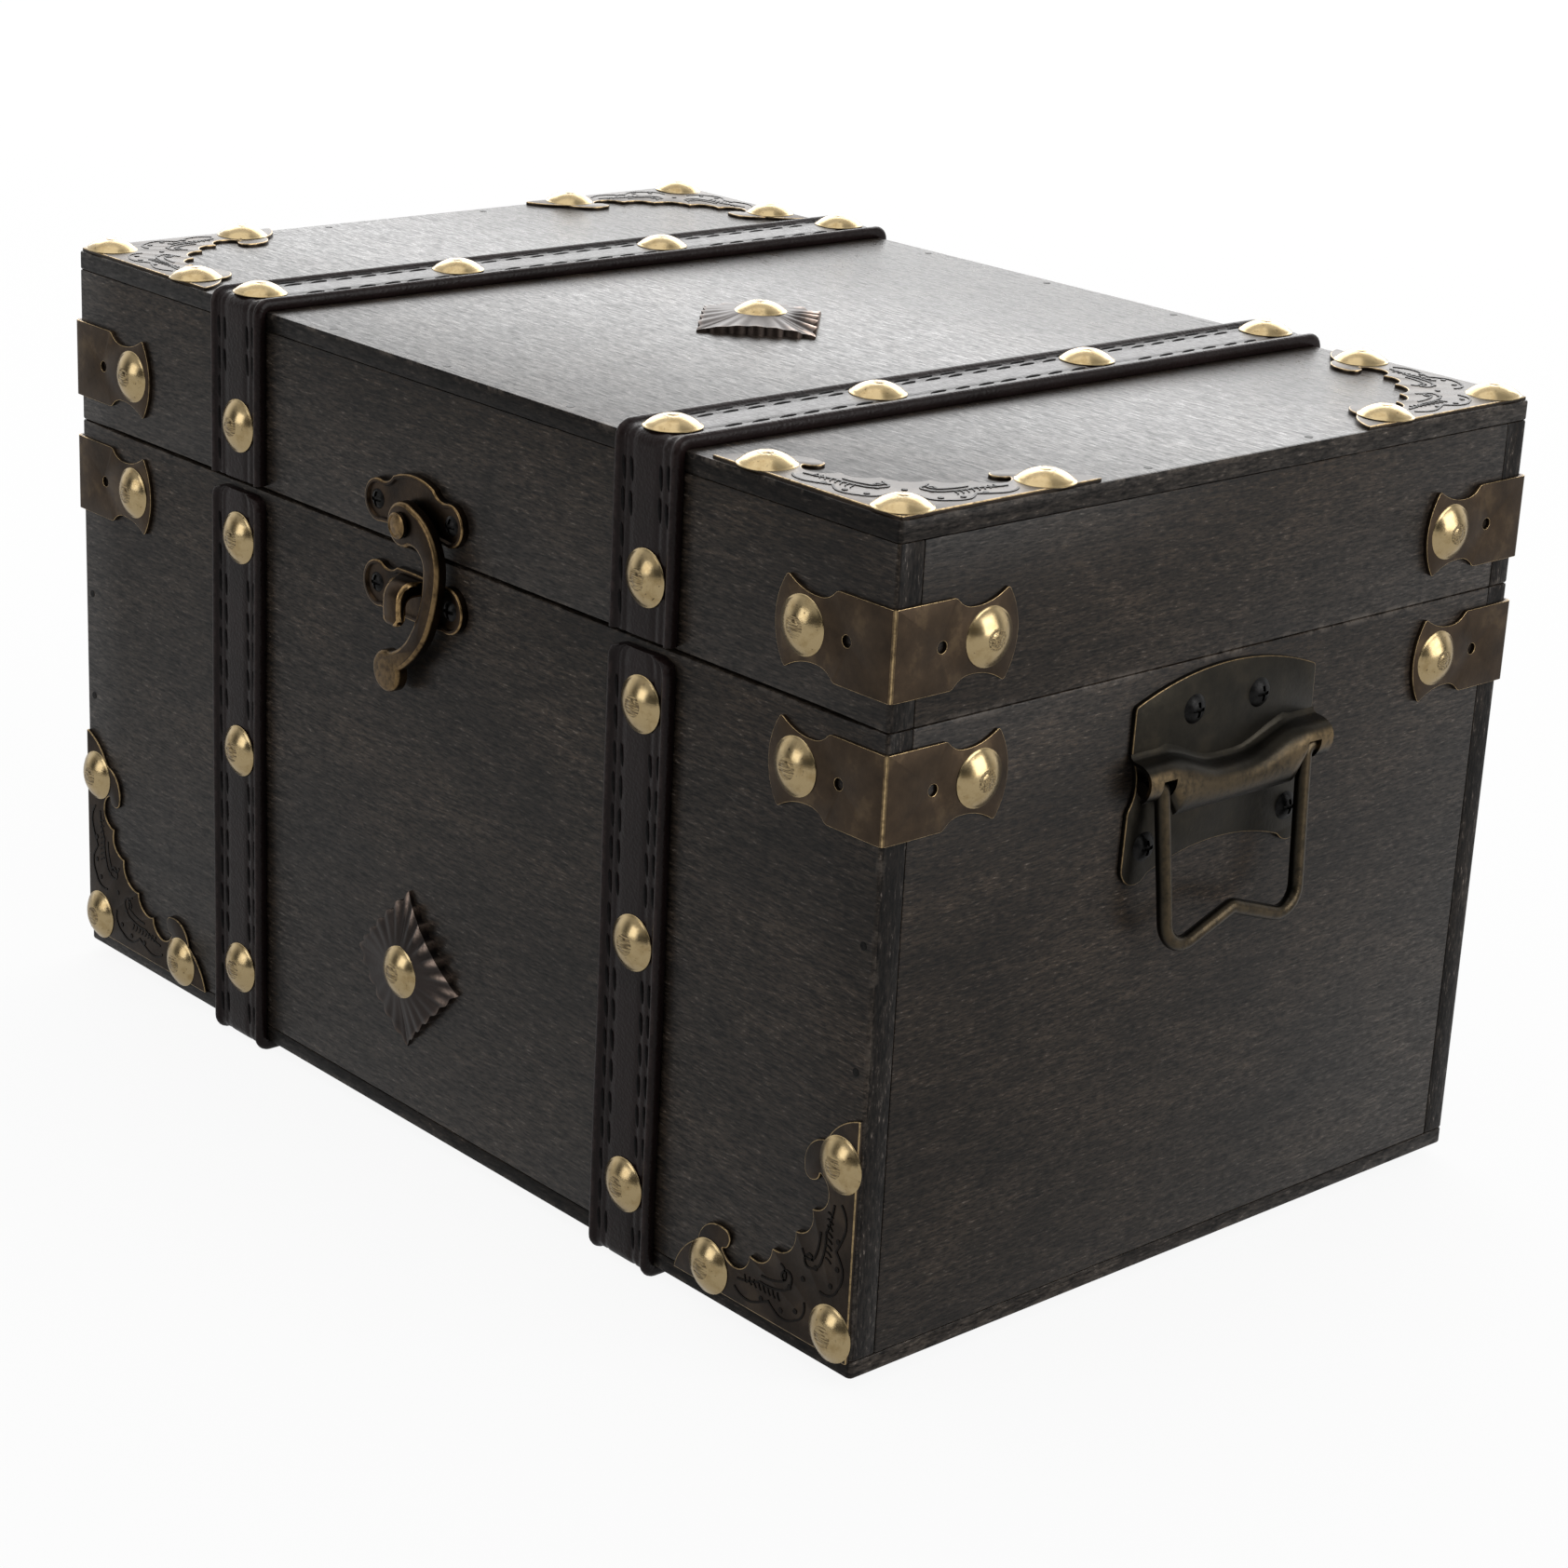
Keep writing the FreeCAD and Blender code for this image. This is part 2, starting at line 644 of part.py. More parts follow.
def latch_rivet():
    """Pivot rivet with a domed head, fixed in the plate on the lid."""
    seat = LATCH_ARM_FRONT + RIVET_GAP
    shank = [(RIVET_RADIUS, 0.0), (RIVET_RADIUS, -seat), (0.0, -seat)]
    rivet = turned((0.0, RIVET_HEAD), [dome_moves(RIVET_HEAD_RADIUS, RIVET_HEAD)] + shank)
    return put(rivet, FRONT, LATCH_X, LATCH_PIVOT_HEIGHT, seat)


def barrel_section(across, inset=0.0, below=BARREL_BELOW):
    """Half-round section of the handle's pressed barrel, whose upper side sags towards its middle."""
    sag = BARREL_SAG * max(0.0, 1 - (across / BARREL_MIDDLE) ** 2)
    low = inset - below
    high = BARREL_ABOVE - sag - inset
    crest = BARREL_OUT - inset
    side = crest - BARREL_ROUND
    return section((0.0, low), [
        (side, low),
        ((crest, (low + high) / 2), (side, high)),
        (0.0, high),
    ], across)


def handle_plate(end):
    """Pressed plate with the barrel across it and an ear at each end, slotted and bored for the bail."""
    half = [
        ((23.2, -20.0), (25.6, -16.2)),
        (25.2, -5.4),
        ((23.4, 0.0), (25.2, 5.4)),
        (25.0, 14.8),
    ]
    start = (18.5, -18.6)
    moves = there_and_back(start, half, mirror_across, (0.0, 19.6))
    moves.append(((0.0, -15.4), start))
    plate = thickened(outline(start, moves), HANDLE_SHEET)
    places = [share * BARREL_MIDDLE for share in (-1.0, -0.5, 0.0, 0.5, 1.0)]
    middle = Part.makeLoft([barrel_section(across) for across in places], True)
    inner = [across * (1 - BARREL_WALL / BARREL_MIDDLE) for across in places]
    middle = middle.cut(Part.makeLoft([barrel_section(across, BARREL_WALL) for across in inner], True))
    pieces = [middle]
    for side in SIDES.values():
        ear = Part.Face(barrel_section(side * BARREL_MIDDLE, 0.0, EAR_BELOW))
        ear = ear.extrude(V(side * (BARREL_HALF_LENGTH - BARREL_MIDDLE), 0, 0))
        slot_ends = sorted((side * SLOT_INNER, side * SLOT_OUTER))
        slot = box((slot_ends[0], -BARREL_BELOW, SLOT_BACK), (slot_ends[1], SLOT_TOP, 2 * BARREL_OUT))
        bore = Part.makeCylinder(
            BAIL_WIRE_RADIUS + BAIL_CLEARANCE,
            BARREL_HALF_LENGTH - SLOT_INNER,
            V(side * SLOT_INNER, 0, HANDLE_AXIS_OUT),
            X_AXIS * side,
        )
        pieces.append(ear.cut([slot, bore]))
    pressed = plate.fuse(pieces).removeSplitter()
    return put(pressed, ENDS[end], 0.0, HANDLE_AXIS_HEIGHT)


def bent_path(points, bends):
    """Wire of straight runs joined by tangent arcs, one bend radius for each inner point."""
    edges = []
    here = V(*points[0])
    for before, corner, after, radius in zip(points, points[1:], points[2:], bends):
        knee = V(*corner)
        back = (V(*before) - knee).normalize()
        ahead = (V(*after) - knee).normalize()
        half_angle = back.getAngle(ahead) / 2
        run = radius / math.tan(half_angle)
        bisector = (back + ahead).normalize()
        through = knee + bisector * (radius / math.sin(half_angle) - radius)
        edges.append(Part.LineSegment(here, knee + back * run).toShape())
        edges.append(Part.Arc(knee + back * run, through, knee + ahead * run).toShape())
        here = knee + ahead * run
    edges.append(Part.LineSegment(here, V(*points[-1])).toShape())
    return Part.Wire(edges)


def handle_bail(end):
    """Bent wire that hangs from the barrel leaning a little out, its bottom bent up to a shallow peak."""
    points = list(BAIL_POINTS) + [mirror_across(point) for point in reversed(BAIL_POINTS[:-1])]
    bends = list(BAIL_BENDS) + list(reversed(BAIL_BENDS[:-1]))
    path = bent_path(points, bends)
    ring = Part.Wire(Part.makeCircle(BAIL_WIRE_RADIUS, V(*points[0]), -X_AXIS))
    wire = path.makePipeShell([ring], True, False)
    wire.rotate(ORIGIN, X_AXIS, -BAIL_LEAN)
    return put(wire, ENDS[end], 0.0, HANDLE_AXIS_HEIGHT, HANDLE_AXIS_OUT)


def along_hinge(radius, low, high):
    """Round piece along the hinge axis between two places, in the frame of the back."""
    return Part.makeCylinder(radius, high - low, V(low, 0, HINGE_OUT), X_AXIS)


def hinge_leaf(side, direction):
    """Hinge leaf above the axis (direction 1, one knuckle) or below it (direction -1, two knuckles)."""
    middle = HINGE_MIDDLE_KNUCKLE
    outer = (middle + HINGE_KNUCKLE_GAP, HINGE_HALF_LENGTH)
    if direction > 0:
        spans = [(-middle, middle)]
        bore_radius = HINGE_PIN_RADIUS + HINGE_RUNNING_CLEARANCE
    else:
        spans = [outer, (-outer[1], -outer[0])]
        bore_radius = HINGE_PIN_RADIUS + HINGE_FIXED_CLEARANCE
    near_edge, far_edge = sorted((direction * HINGE_LEAF_CLEARANCE, direction * HINGE_LEAF))
    leaf = box((-HINGE_HALF_LENGTH, near_edge, 0.0), (HINGE_HALF_LENGTH, far_edge, HINGE_SHEET))
    pieces = []
    for low, high in spans:
        root = sorted((0.0, direction * HINGE_LEAF_CLEARANCE))
        pieces.append(box((low, root[0], 0.0), (high, root[1], HINGE_SHEET)))
        pieces.append(along_hinge(HINGE_KNUCKLE_RADIUS, low, high))
    bore = along_hinge(bore_radius, -HINGE_HALF_LENGTH, HINGE_HALF_LENGTH)
    leaf = leaf.fuse(pieces).removeSplitter().cut(bore)
    return put(leaf, BACK, -side * HINGE_X, SEAM_HEIGHT)


def hinge_pin(side):
    """Hinge pin, fixed in the lower leaf."""
    pin = along_hinge(HINGE_PIN_RADIUS, -HINGE_HALF_LENGTH, HINGE_HALF_LENGTH)
    return put(pin, BACK, -side * HINGE_X, SEAM_HEIGHT)


def make_base(strap_studs):
    """Every piece of the base, by name."""
    bracket_studs = bracket_nails(BASE_BRACKET_HEIGHT)
    plate_studs = plate_nails(FRONT, front_plate_places(), NAIL_GRIP_BOARD)
    boss_stud = put(domed_nail(BOSS_NAIL_SEAT + NAIL_GRIP_BOARD), FRONT, *FRONT_BOSS, BOSS_NAIL_SEAT)
    plate_studs.append(boss_stud)
    catch_screws = latch_screws(CATCH_HEIGHT)
    lower_screws = hinge_screws(-1)
    brads = base_brads()
    ends = {end: handle_screws(end) for end in SIDES}
    fasteners = (strap_studs, bracket_studs, plate_studs, catch_screws, lower_screws, brads)
    fasteners += tuple(ends.values())
    floor = WOOD_Z + BOTTOM_PANEL
    pieces = {
        "base_front_board": without(long_board(-1, floor, BASE_RIM_Z, BASE_RIM_Z), *fasteners),
        "base_back_board": without(long_board(1, floor, BASE_RIM_Z, BASE_RIM_Z), *fasteners),
        "base_bottom_panel": without(panel(WOOD_Z, floor, WOOD_Z), *fasteners),
        "diamond_boss_front": put(diamond_boss(), FRONT, *FRONT_BOSS).cut(boss_stud),
        "latch_catch": without(latch_catch(), catch_screws),
        "base_strap_studs": Part.makeCompound(strap_studs),
        "base_bracket_studs": Part.makeCompound(bracket_studs),
        "base_plate_studs": Part.makeCompound(plate_studs),
        "latch_catch_screws": Part.makeCompound(catch_screws),
        "hinge_lower_screws": Part.makeCompound(lower_screws),
        "base_brads": Part.makeCompound(brads),
    }
    strap_ends = (BASE_RIM_Z - STRAP_FRONT_GAP, BASE_RIM_Z - STRAP_BACK_GAP)
    for name, side in SIDES.items():
        pieces["base_" + name + "_board"] = without(end_board(side, floor, BASE_RIM_Z, BASE_RIM_Z), *fasteners)
        pieces["base_strap_" + name] = without(strap(side, strap_ends, 0.0, WOOD_Z), strap_studs)
        pieces["hinge_leaf_lower_" + name] = without(hinge_leaf(side, -1), lower_screws)
        pieces["hinge_pin_" + name] = hinge_pin(side)
        pieces["handle_plate_" + name] = without(handle_plate(name), ends[name])
        pieces["handle_screws_" + name] = Part.makeCompound(ends[name])
    for name, place in front_plate_places().items():
        across, up, spin = place
        plate = put(scalloped_plate(), FRONT, across, up, 0.0, spin)
        pieces["corner_plate_bottom_" + name] = without(plate, plate_studs)
    for corner in CORNERS:
        bracket = put(corner_bracket(), corner_frame(corner, BASE_BRACKET_HEIGHT))
        pieces["base_bracket_" + corner] = without(bracket, bracket_studs)
    return pieces


def make_lid(strap_studs):
    """Every piece that swings with the lid, by name."""
    bracket_studs = bracket_nails(LID_BRACKET_HEIGHT)
    plate_studs = plate_nails(TOP, top_plate_places(), NAIL_GRIP_PANEL)
    boss_stud = put(domed_nail(BOSS_NAIL_SEAT + NAIL_GRIP_PANEL), TOP, *TOP_BOSS, BOSS_NAIL_SEAT)
    plate_studs.append(boss_stud)
    plate_screws = latch_screws(LATCH_PLATE_HEIGHT)
    upper_screws = hinge_screws(1)
    brads = lid_brads()
    rivet = latch_rivet()
    fasteners = (strap_studs, bracket_studs, plate_studs, plate_screws, upper_screws, brads)
    under = TOP_Z - TOP_PANEL
    pieces = {
        "lid_top_panel": without(panel(under, TOP_Z, TOP_Z), *fasteners),
        "lid_front_rail": without(long_board(-1, LID_RIM_Z, under, LID_RIM_Z), *fasteners),
        "lid_back_rail": without(long_board(1, LID_RIM_Z, under, LID_RIM_Z), *fasteners),
        "diamond_boss_top": put(diamond_boss(), TOP, *TOP_BOSS).cut(boss_stud),
        "latch_plate": without(latch_plate(), plate_screws, [rivet]),
        "latch_pivot_rivet": rivet,
        "lid_strap_studs": Part.makeCompound(strap_studs),
        "lid_bracket_studs": Part.makeCompound(bracket_studs),
        "lid_plate_studs": Part.makeCompound(plate_studs),
        "latch_plate_screws": Part.makeCompound(plate_screws),
        "hinge_upper_screws": Part.makeCompound(upper_screws),
        "lid_brads": Part.makeCompound(brads),
    }
    strap_ends = (LID_RIM_Z + SEAM_GAP, LID_RIM_Z + STRAP_BACK_GAP)
    for name, side in SIDES.items():
        pieces["lid_" + name + "_rail"] = without(end_board(side, LID_RIM_Z, under, LID_RIM_Z), *fasteners)
        pieces["lid_strap_" + name] = without(strap(side, strap_ends, TOP_Z + STRAP_THICKNESS, TOP_Z), strap_studs)
        pieces["hinge_leaf_upper_" + name] = without(hinge_leaf(side, 1), upper_screws)
    for corner, place in top_plate_places().items():
        across, up, spin = place
        plate = put(scalloped_plate(), TOP, across, up, 0.0, spin)
        pieces["corner_plate_top_" + corner] = without(plate, plate_studs)
    for corner in CORNERS:
        bracket = put(corner_bracket(), corner_frame(corner, LID_BRACKET_HEIGHT))
        pieces["lid_bracket_" + corner] = without(bracket, bracket_studs)
    return pieces


def make_swinging():
    """The latch arm and the two handle bails, by name."""
    pieces = {"latch_arm": latch_arm()}
    for end in SIDES:
        pieces["handle_bail_" + end] = handle_bail(end)
    return pieces


def main():
    """Build every piece and write one file for each."""
    base_studs, lid_studs = strap_nails()
    pieces = {**make_base(base_studs), **make_lid(lid_studs), **make_swinging()}
    os.makedirs("parts", exist_ok=True)
    for name, shape in pieces.items():
        shape.exportStep(os.path.join("parts", name + ".step"))


main()
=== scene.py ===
"""Small wooden chest, dressed: stained boards, leather straps, brass nails and bronze fittings."""
import logging
import math
import random
from dataclasses import dataclass, field
from enum import Enum
from typing import Callable, Iterable, Sequence, Union

import bmesh
import bpy
from mathutils import Matrix, Vector, noise


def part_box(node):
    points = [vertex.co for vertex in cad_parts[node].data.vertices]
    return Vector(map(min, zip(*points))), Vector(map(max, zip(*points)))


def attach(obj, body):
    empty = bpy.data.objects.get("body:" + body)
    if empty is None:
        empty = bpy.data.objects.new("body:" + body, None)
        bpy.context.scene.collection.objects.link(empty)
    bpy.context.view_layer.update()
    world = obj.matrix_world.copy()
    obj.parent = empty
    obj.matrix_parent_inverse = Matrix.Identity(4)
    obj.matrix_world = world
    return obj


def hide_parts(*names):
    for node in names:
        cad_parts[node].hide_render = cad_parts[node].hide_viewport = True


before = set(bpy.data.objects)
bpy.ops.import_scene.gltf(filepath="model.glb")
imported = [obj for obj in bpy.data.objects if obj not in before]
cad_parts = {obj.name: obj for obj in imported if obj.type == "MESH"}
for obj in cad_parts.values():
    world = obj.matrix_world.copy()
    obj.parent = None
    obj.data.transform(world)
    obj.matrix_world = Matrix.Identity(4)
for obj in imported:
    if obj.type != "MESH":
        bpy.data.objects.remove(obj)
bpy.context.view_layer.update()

LOG = logging.getLogger("chest")
Point = tuple[float, float]
Move = Union[Point, tuple[Point, Point]]
Colour = tuple[float, float, float]
Stops = Sequence[tuple[float, Colour]]
Socket = bpy.types.NodeSocket
Mesh = bmesh.types.BMesh
Edge = bmesh.types.BMEdge
Vert = bmesh.types.BMVert
Facet = bmesh.types.BMFace
Template = bpy.types.Mesh
Material = bpy.types.Material

MM = 0.001
HALF_WIDTH = 130.0
HALF_DEPTH = 85.5
WOOD_Z = 2.6
SEAM_Z = 126.2
TOP_Z = 163.6
SEAM_GAP = 0.7
HANDLE_Y = 1.0
STRAP_X = 66.0
BRACKET_SHEET = 0.8
PLATE_SHEET = 0.7
UP = Vector((0.0, 0.0, 1.0))
SIDES = {"left": -1, "right": 1}


class Body(Enum):
    """Moving groups of the chest."""

    BASE = "base"
    LID = "lid"
    HOOK = "latch_hook"
    LEFT_BAIL = "left_bail"
    RIGHT_BAIL = "right_bail"


class Slot(Enum):
    """Finish slots of the record, held in the listing of each dressed piece."""

    WOOD = "stained_wood"
    LEATHER = "strap_leather"
    BRASS = "nail_brass"
    BRONZE = "antique_bronze"


class Grain(Enum):
    """Direction of the grain, as the pattern's scale along X, Y and Z."""

    ALONG_X = (1.0, 9.0, 9.0)
    ALONG_Y = (9.0, 1.0, 9.0)
    PLY_LEVEL = (1.0, 1.0, 7.0)
    PLY_UPRIGHT = (7.0, 7.0, 1.0)


class Face(Enum):
    """Outer faces of the case, each as (origin, across, up)."""

    FRONT = ((0, -HALF_DEPTH, WOOD_Z), (1, 0, 0), (0, 0, 1))
    BACK = ((0, HALF_DEPTH, WOOD_Z), (-1, 0, 0), (0, 0, 1))
    TOP = ((0, 0, TOP_Z), (1, 0, 0), (0, 1, 0))
    RIGHT = ((HALF_WIDTH, HANDLE_Y, WOOD_Z), (0, 1, 0), (0, 0, 1))
    LEFT = ((-HALF_WIDTH, HANDLE_Y, WOOD_Z), (0, -1, 0), (0, 0, 1))

    def at(self, across: float = 0.0, up: float = 0.0, out: float = 0.0, spin: float = 0.0) -> Matrix:
        """Placement on the face.

        Args:
            across: Distance along the face from its middle.
            up: Height on the face.
            out: Distance off the wood.
            spin: Turn about the outward direction, in degrees.

        Returns:
            Matrix from the piece's own frame to the chest's.
        """
        local = Matrix.Translation((across, up, out)) @ Matrix.Rotation(math.radians(spin), 4, "Z")
        return frame_matrix(*self.value) @ local


def frame_matrix(origin: Sequence[float], across: Sequence[float], up: Sequence[float]) -> Matrix:
    """Matrix whose X, Y and Z run across, up and out.

    Args:
        origin: Where the frame stands.
        across: Its X direction.
        up: Its Y direction.

    Returns:
        The placement as a 4 by 4 matrix.
    """
    x_axis = Vector(across)
    y_axis = Vector(up)
    turn = Matrix((x_axis, y_axis, x_axis.cross(y_axis))).transposed()
    return Matrix.Translation(origin) @ turn.to_4x4()


def smoothstep(low: float, high: float, value: float) -> float:
    """Smooth rise from 0 at low to 1 at high."""
    share = min(1.0, max(0.0, (value - low) / (high - low)))
    return share * share * (3.0 - 2.0 * share)


# Drawing and shaping

def new_mesh() -> Mesh:
    """Empty mesh with a layer for rubbed edges.

    Returns:
        The mesh.
    """
    mesh = bmesh.new()
    mesh.loops.layers.float.new("wear")
    return mesh


def rub(mesh: Mesh, faces: Iterable[Facet], amount: float = 1.0) -> None:
    """Mark faces as rubbed bright.

    Args:
        mesh: Mesh that holds the faces.
        faces: Faces to mark.
        amount: How bright, 0 to 1.
    """
    wear = mesh.loops.layers.float["wear"]
    for face in faces:
        for loop in face.loops:
            loop[wear] = amount


def set_wear(mesh: Mesh, amount: Callable[[Vert], float]) -> None:
    """Mark every point as rubbed by an amount of its own.

    Args:
        mesh: Mesh to mark.
        amount: Gives how bright a point is, 0 to 1.
    """
    wear = mesh.loops.layers.float["wear"]
    for vert in mesh.verts:
        share = amount(vert)
        for loop in vert.link_loops:
            loop[wear] = max(loop[wear], share)


def circle_centre(a: Vector, b: Vector, c: Vector) -> Vector:
    """Centre of the circle through three points of the XY plane.

    Args:
        a: First point.
        b: Second point.
        c: Third point.

    Returns:
        The centre.
    """
    area = 2.0 * (a.x * (b.y - c.y) + b.x * (c.y - a.y) + c.x * (a.y - b.y))
    squares = [point.x ** 2 + point.y ** 2 for point in (a, b, c)]
    x = squares[0] * (b.y - c.y) + squares[1] * (c.y - a.y) + squares[2] * (a.y - b.y)
    y = squares[0] * (c.x - b.x) + squares[1] * (a.x - c.x) + squares[2] * (b.x - a.x)
    return Vector((x / area, y / area, 0.0))


class Pen:
    """Draws a chain of edges in the XY plane with straight and curved strokes."""

    def __init__(self, mesh: Mesh, start: Point, step: float = 0.7) -> None:
        """Set the pen down.

        Args:
            mesh: Mesh that takes the edges.
            start: First point.
            step: Longest piece of an arc.
        """
        self.mesh = mesh
        self.step = step
        self.tip = mesh.verts.new((start[0], start[1], 0.0))

    def line(self, end: Point) -> None:
        """Straight stroke.

        Args:
            end: Where the stroke ends.
        """
        made = bmesh.ops.extrude_vert_indiv(self.mesh, verts=[self.tip])
        self.tip = made["verts"][0]
        self.tip.co = (end[0], end[1], 0.0)

    def arc(self, through: Point, end: Point) -> None:
        """Curved stroke.

        Args:
            through: Point on the way.
            end: Where the stroke ends.
        """
        here = self.tip.co.copy()
        middle = Vector((through[0], through[1], 0.0))
        last = Vector((end[0], end[1], 0.0))
        centre = circle_centre(here, middle, last)
        angles = [math.atan2((p - centre).y, (p - centre).x) for p in (here, middle, last)]
        to_middle = (angles[1] - angles[0]) % (2 * math.pi)
        to_end = (angles[2] - angles[0]) % (2 * math.pi)
        sweep = to_end if to_middle < to_end else to_end - 2 * math.pi
        steps = max(3, math.ceil(abs(sweep) * (here - centre).length / self.step))
        made = bmesh.ops.spin(
            self.mesh, geom=[self.tip], cent=centre, axis=UP, angle=sweep, steps=steps,
            use_duplicate=False,
        )
        self.tip = next(part for part in made["geom_last"] if isinstance(part, Vert))

    def draw(self, moves: Iterable[Move]) -> None:
        """Several strokes.

        Args:
            moves: Each an end point, or a pair (through, end) for an arc.
        """
        for move in moves:
            if isinstance(move[0], tuple):
                self.arc(move[0], move[1])
            else:
                self.line(move)


def there_and_back(start: Point, moves: Sequence[Move], flip: Callable[[Point], Point],
                   bridge: Point) -> list[Move]:
    """Half an outline, an arc across the mirror line and the half run back.

    Args:
        start: First point of the half.
        moves: Strokes of the half.
        flip: Mirrors a point.
        bridge: Point of the arc that joins the halves.

    Returns:
        Strokes of the whole outline.
    """
    ends = [start] + [move[1] if isinstance(move[0], tuple) else move for move in moves]
    path: list[Move] = list(moves) + [(bridge, flip(ends[-1]))]
    for move, begin in zip(reversed(moves), reversed(ends[:-1])):
        path.append((flip(move[0]), flip(begin)) if isinstance(move[0], tuple) else flip(begin))
    return path


def mirror_across(point: Point) -> Point:
    """Point mirrored left to right."""
    return (-point[0], point[1])


def mirror_up(point: Point) -> Point:
    """Point mirrored top to bottom."""
    return (point[0], -point[1])


def mirror_diagonal(point: Point) -> Point:
    """Point mirrored in the diagonal of a square corner."""
    return (point[1], point[0])


def flipped(moves: Iterable[Move], flip: Callable[[Point], Point]) -> list[Move]:
    """Strokes mirrored one by one."""
    return [(flip(move[0]), flip(move[1])) if isinstance(move[0], tuple) else flip(move)
            for move in moves]


def moved_part(made: dict) -> list[Vert]:
    """Vertices among what an operator made."""
    return [part for part in made["geom"] if isinstance(part, Vert)]


def front_rim(mesh: Mesh) -> list[Edge]:
    """Edges between the front of a flat plate and its sides.

    Args:
        mesh: The plate, its front along +Z.

    Returns:
        Edges of the front's outline.
    """
    mesh.normal_update()
    rim = []
    for edge in mesh.edges:
        lean = sorted(face.normal.z for face in edge.link_faces)
        if len(lean) == 2 and lean[1] > 0.9 and abs(lean[0]) < 0.3:
            rim.append(edge)
    return rim


def round_edges(mesh: Mesh, edges: Sequence[Edge], size: float, segments: int = 2,
                wear: float = 1.0) -> None:
    """Round edges and mark the rounding as rubbed.

    Args:
        mesh: Mesh that holds the edges.
        edges: Edges to round.
        size: Width taken from each side.
        segments: Faces across the rounding.
        wear: How bright the rounding is rubbed.
    """
    made = bmesh.ops.bevel(
        mesh, geom=list(edges), offset=size, offset_type="OFFSET", segments=segments, profile=0.5,
        affect="EDGES", material=-1, clamp_overlap=True,
    )
    rub(mesh, made["faces"], wear)


def soften_corners(mesh: Mesh, size: float) -> None:
    """Round the upright edges where a plate's outline turns sharply.

    Args:
        mesh: The plate.
        size: Width taken from each side of an edge.
    """
    sharp = []
    for edge in mesh.edges:
        upright = abs(edge.verts[0].co.z - edge.verts[1].co.z) > 0.9 * edge.calc_length()
        if upright and edge.calc_face_angle(0.0) > math.radians(30):
            sharp.append(edge)
    bmesh.ops.bevel(
        mesh, geom=sharp, offset=size, offset_type="OFFSET", segments=3, profile=0.5,
        affect="EDGES", material=-1, clamp_overlap=True,
    )


def flat_plate(start: Point, moves: Sequence[Move], thickness: float, base: float = 0.0,
               holes: Sequence[tuple[float, float, float]] = (), soften: float = 0.0) -> Mesh:
    """Plate cut to an outline, its back at base.

    Args:
        start: First point of the outline.
        moves: Strokes of the outline.
        thickness: Sheet thickness.
        base: Height of the back.
        holes: Round holes as (across, up, radius).
        soften: Rounding of the outline's corners.

    Returns:
        The plate as a mesh with its front along +Z.
    """
    mesh = new_mesh()
    Pen(mesh, start).draw(moves)
    bmesh.ops.remove_doubles(mesh, verts=mesh.verts[:], dist=0.02)
    ends = [vert for vert in mesh.verts if len(vert.link_edges) == 1]
    if len(ends) == 2:
        mesh.edges.new(ends)
    if holes:
        for across, up, radius in holes:
            place = Matrix.Translation((across, up, 0.0))
            bmesh.ops.create_circle(mesh, cap_ends=False, radius=radius, segments=20, matrix=place)
        bmesh.ops.triangle_fill(mesh, use_beauty=True, use_dissolve=False, edges=mesh.edges[:], normal=UP)
    else:
        bmesh.ops.contextual_create(mesh, geom=mesh.edges[:])
    made = bmesh.ops.extrude_face_region(mesh, geom=mesh.faces[:])
    bmesh.ops.translate(mesh, verts=moved_part(made), vec=UP * thickness)
    bmesh.ops.translate(mesh, verts=mesh.verts[:], vec=UP * base)
    bmesh.ops.recalc_face_normals(mesh, faces=mesh.faces[:])
    if soften:
        soften_corners(mesh, soften)
    return mesh


def turned(start: Point, moves: Sequence[Move], steps: int = 32, step: float = 0.6) -> Mesh:
    """Shape turned about Z from a half outline.

    Args:
        start: First (radius, height) point.
        moves: Strokes of the half outline.
        steps: Facets round the axis.
        step: Longest piece of an arc.

    Returns:
        The turned mesh.
    """
    mesh = new_mesh()
    Pen(mesh, start, step).draw(moves)
    upright = Matrix.Rotation(math.pi / 2, 3, "X")
    bmesh.ops.rotate(mesh, verts=mesh.verts[:], cent=(0, 0, 0), matrix=upright)
    bmesh.ops.spin(
        mesh, geom=mesh.verts[:] + mesh.edges[:], cent=(0, 0, 0), axis=UP, angle=2 * math.pi,
        steps=steps, use_merge=True, use_duplicate=False,
    )
    bmesh.ops.remove_doubles(mesh, verts=mesh.verts[:], dist=0.001)
    bmesh.ops.recalc_face_normals(mesh, faces=mesh.faces[:])
    return mesh


def extrude_ring(mesh: Mesh, ring: Sequence[Edge], step: Vector) -> list[Edge]:
    """Draw a ring or chain of edges out by one step.

    Args:
        mesh: Mesh that holds the ring.
        ring: Edges of the ring.
        step: Way of the step.

    Returns:
        Edges of the new ring.
    """
    made = bmesh.ops.extrude_edge_only(mesh, edges=list(ring))
    fresh = moved_part(made)
    bmesh.ops.translate(mesh, verts=fresh, vec=step)
    known = set(fresh)
    return [part for part in made["geom"] if isinstance(part, Edge) and set(part.verts) <= known]


def swing_ring(mesh: Mesh, ring: Sequence[Edge], centre: Vector, axis: Vector,
               angle: float, steps: int) -> list[Edge]:
    """Swing a ring of edges round a bend.

    Args:
        mesh: Mesh that holds the ring.
        ring: Edges of the ring.
        centre: Centre of the bend.
        axis: Axis of the bend.
        angle: Turn in radians.
        steps: Rings along the bend.

    Returns:
        Edges of the last ring.
    """
    verts = list({vert for edge in ring for vert in edge.verts})
    made = bmesh.ops.spin(
        mesh, geom=verts + list(ring), cent=centre, axis=axis, angle=angle, steps=steps,
        use_duplicate=False,
    )
    return [part for part in made["geom_last"] if isinstance(part, Edge)]


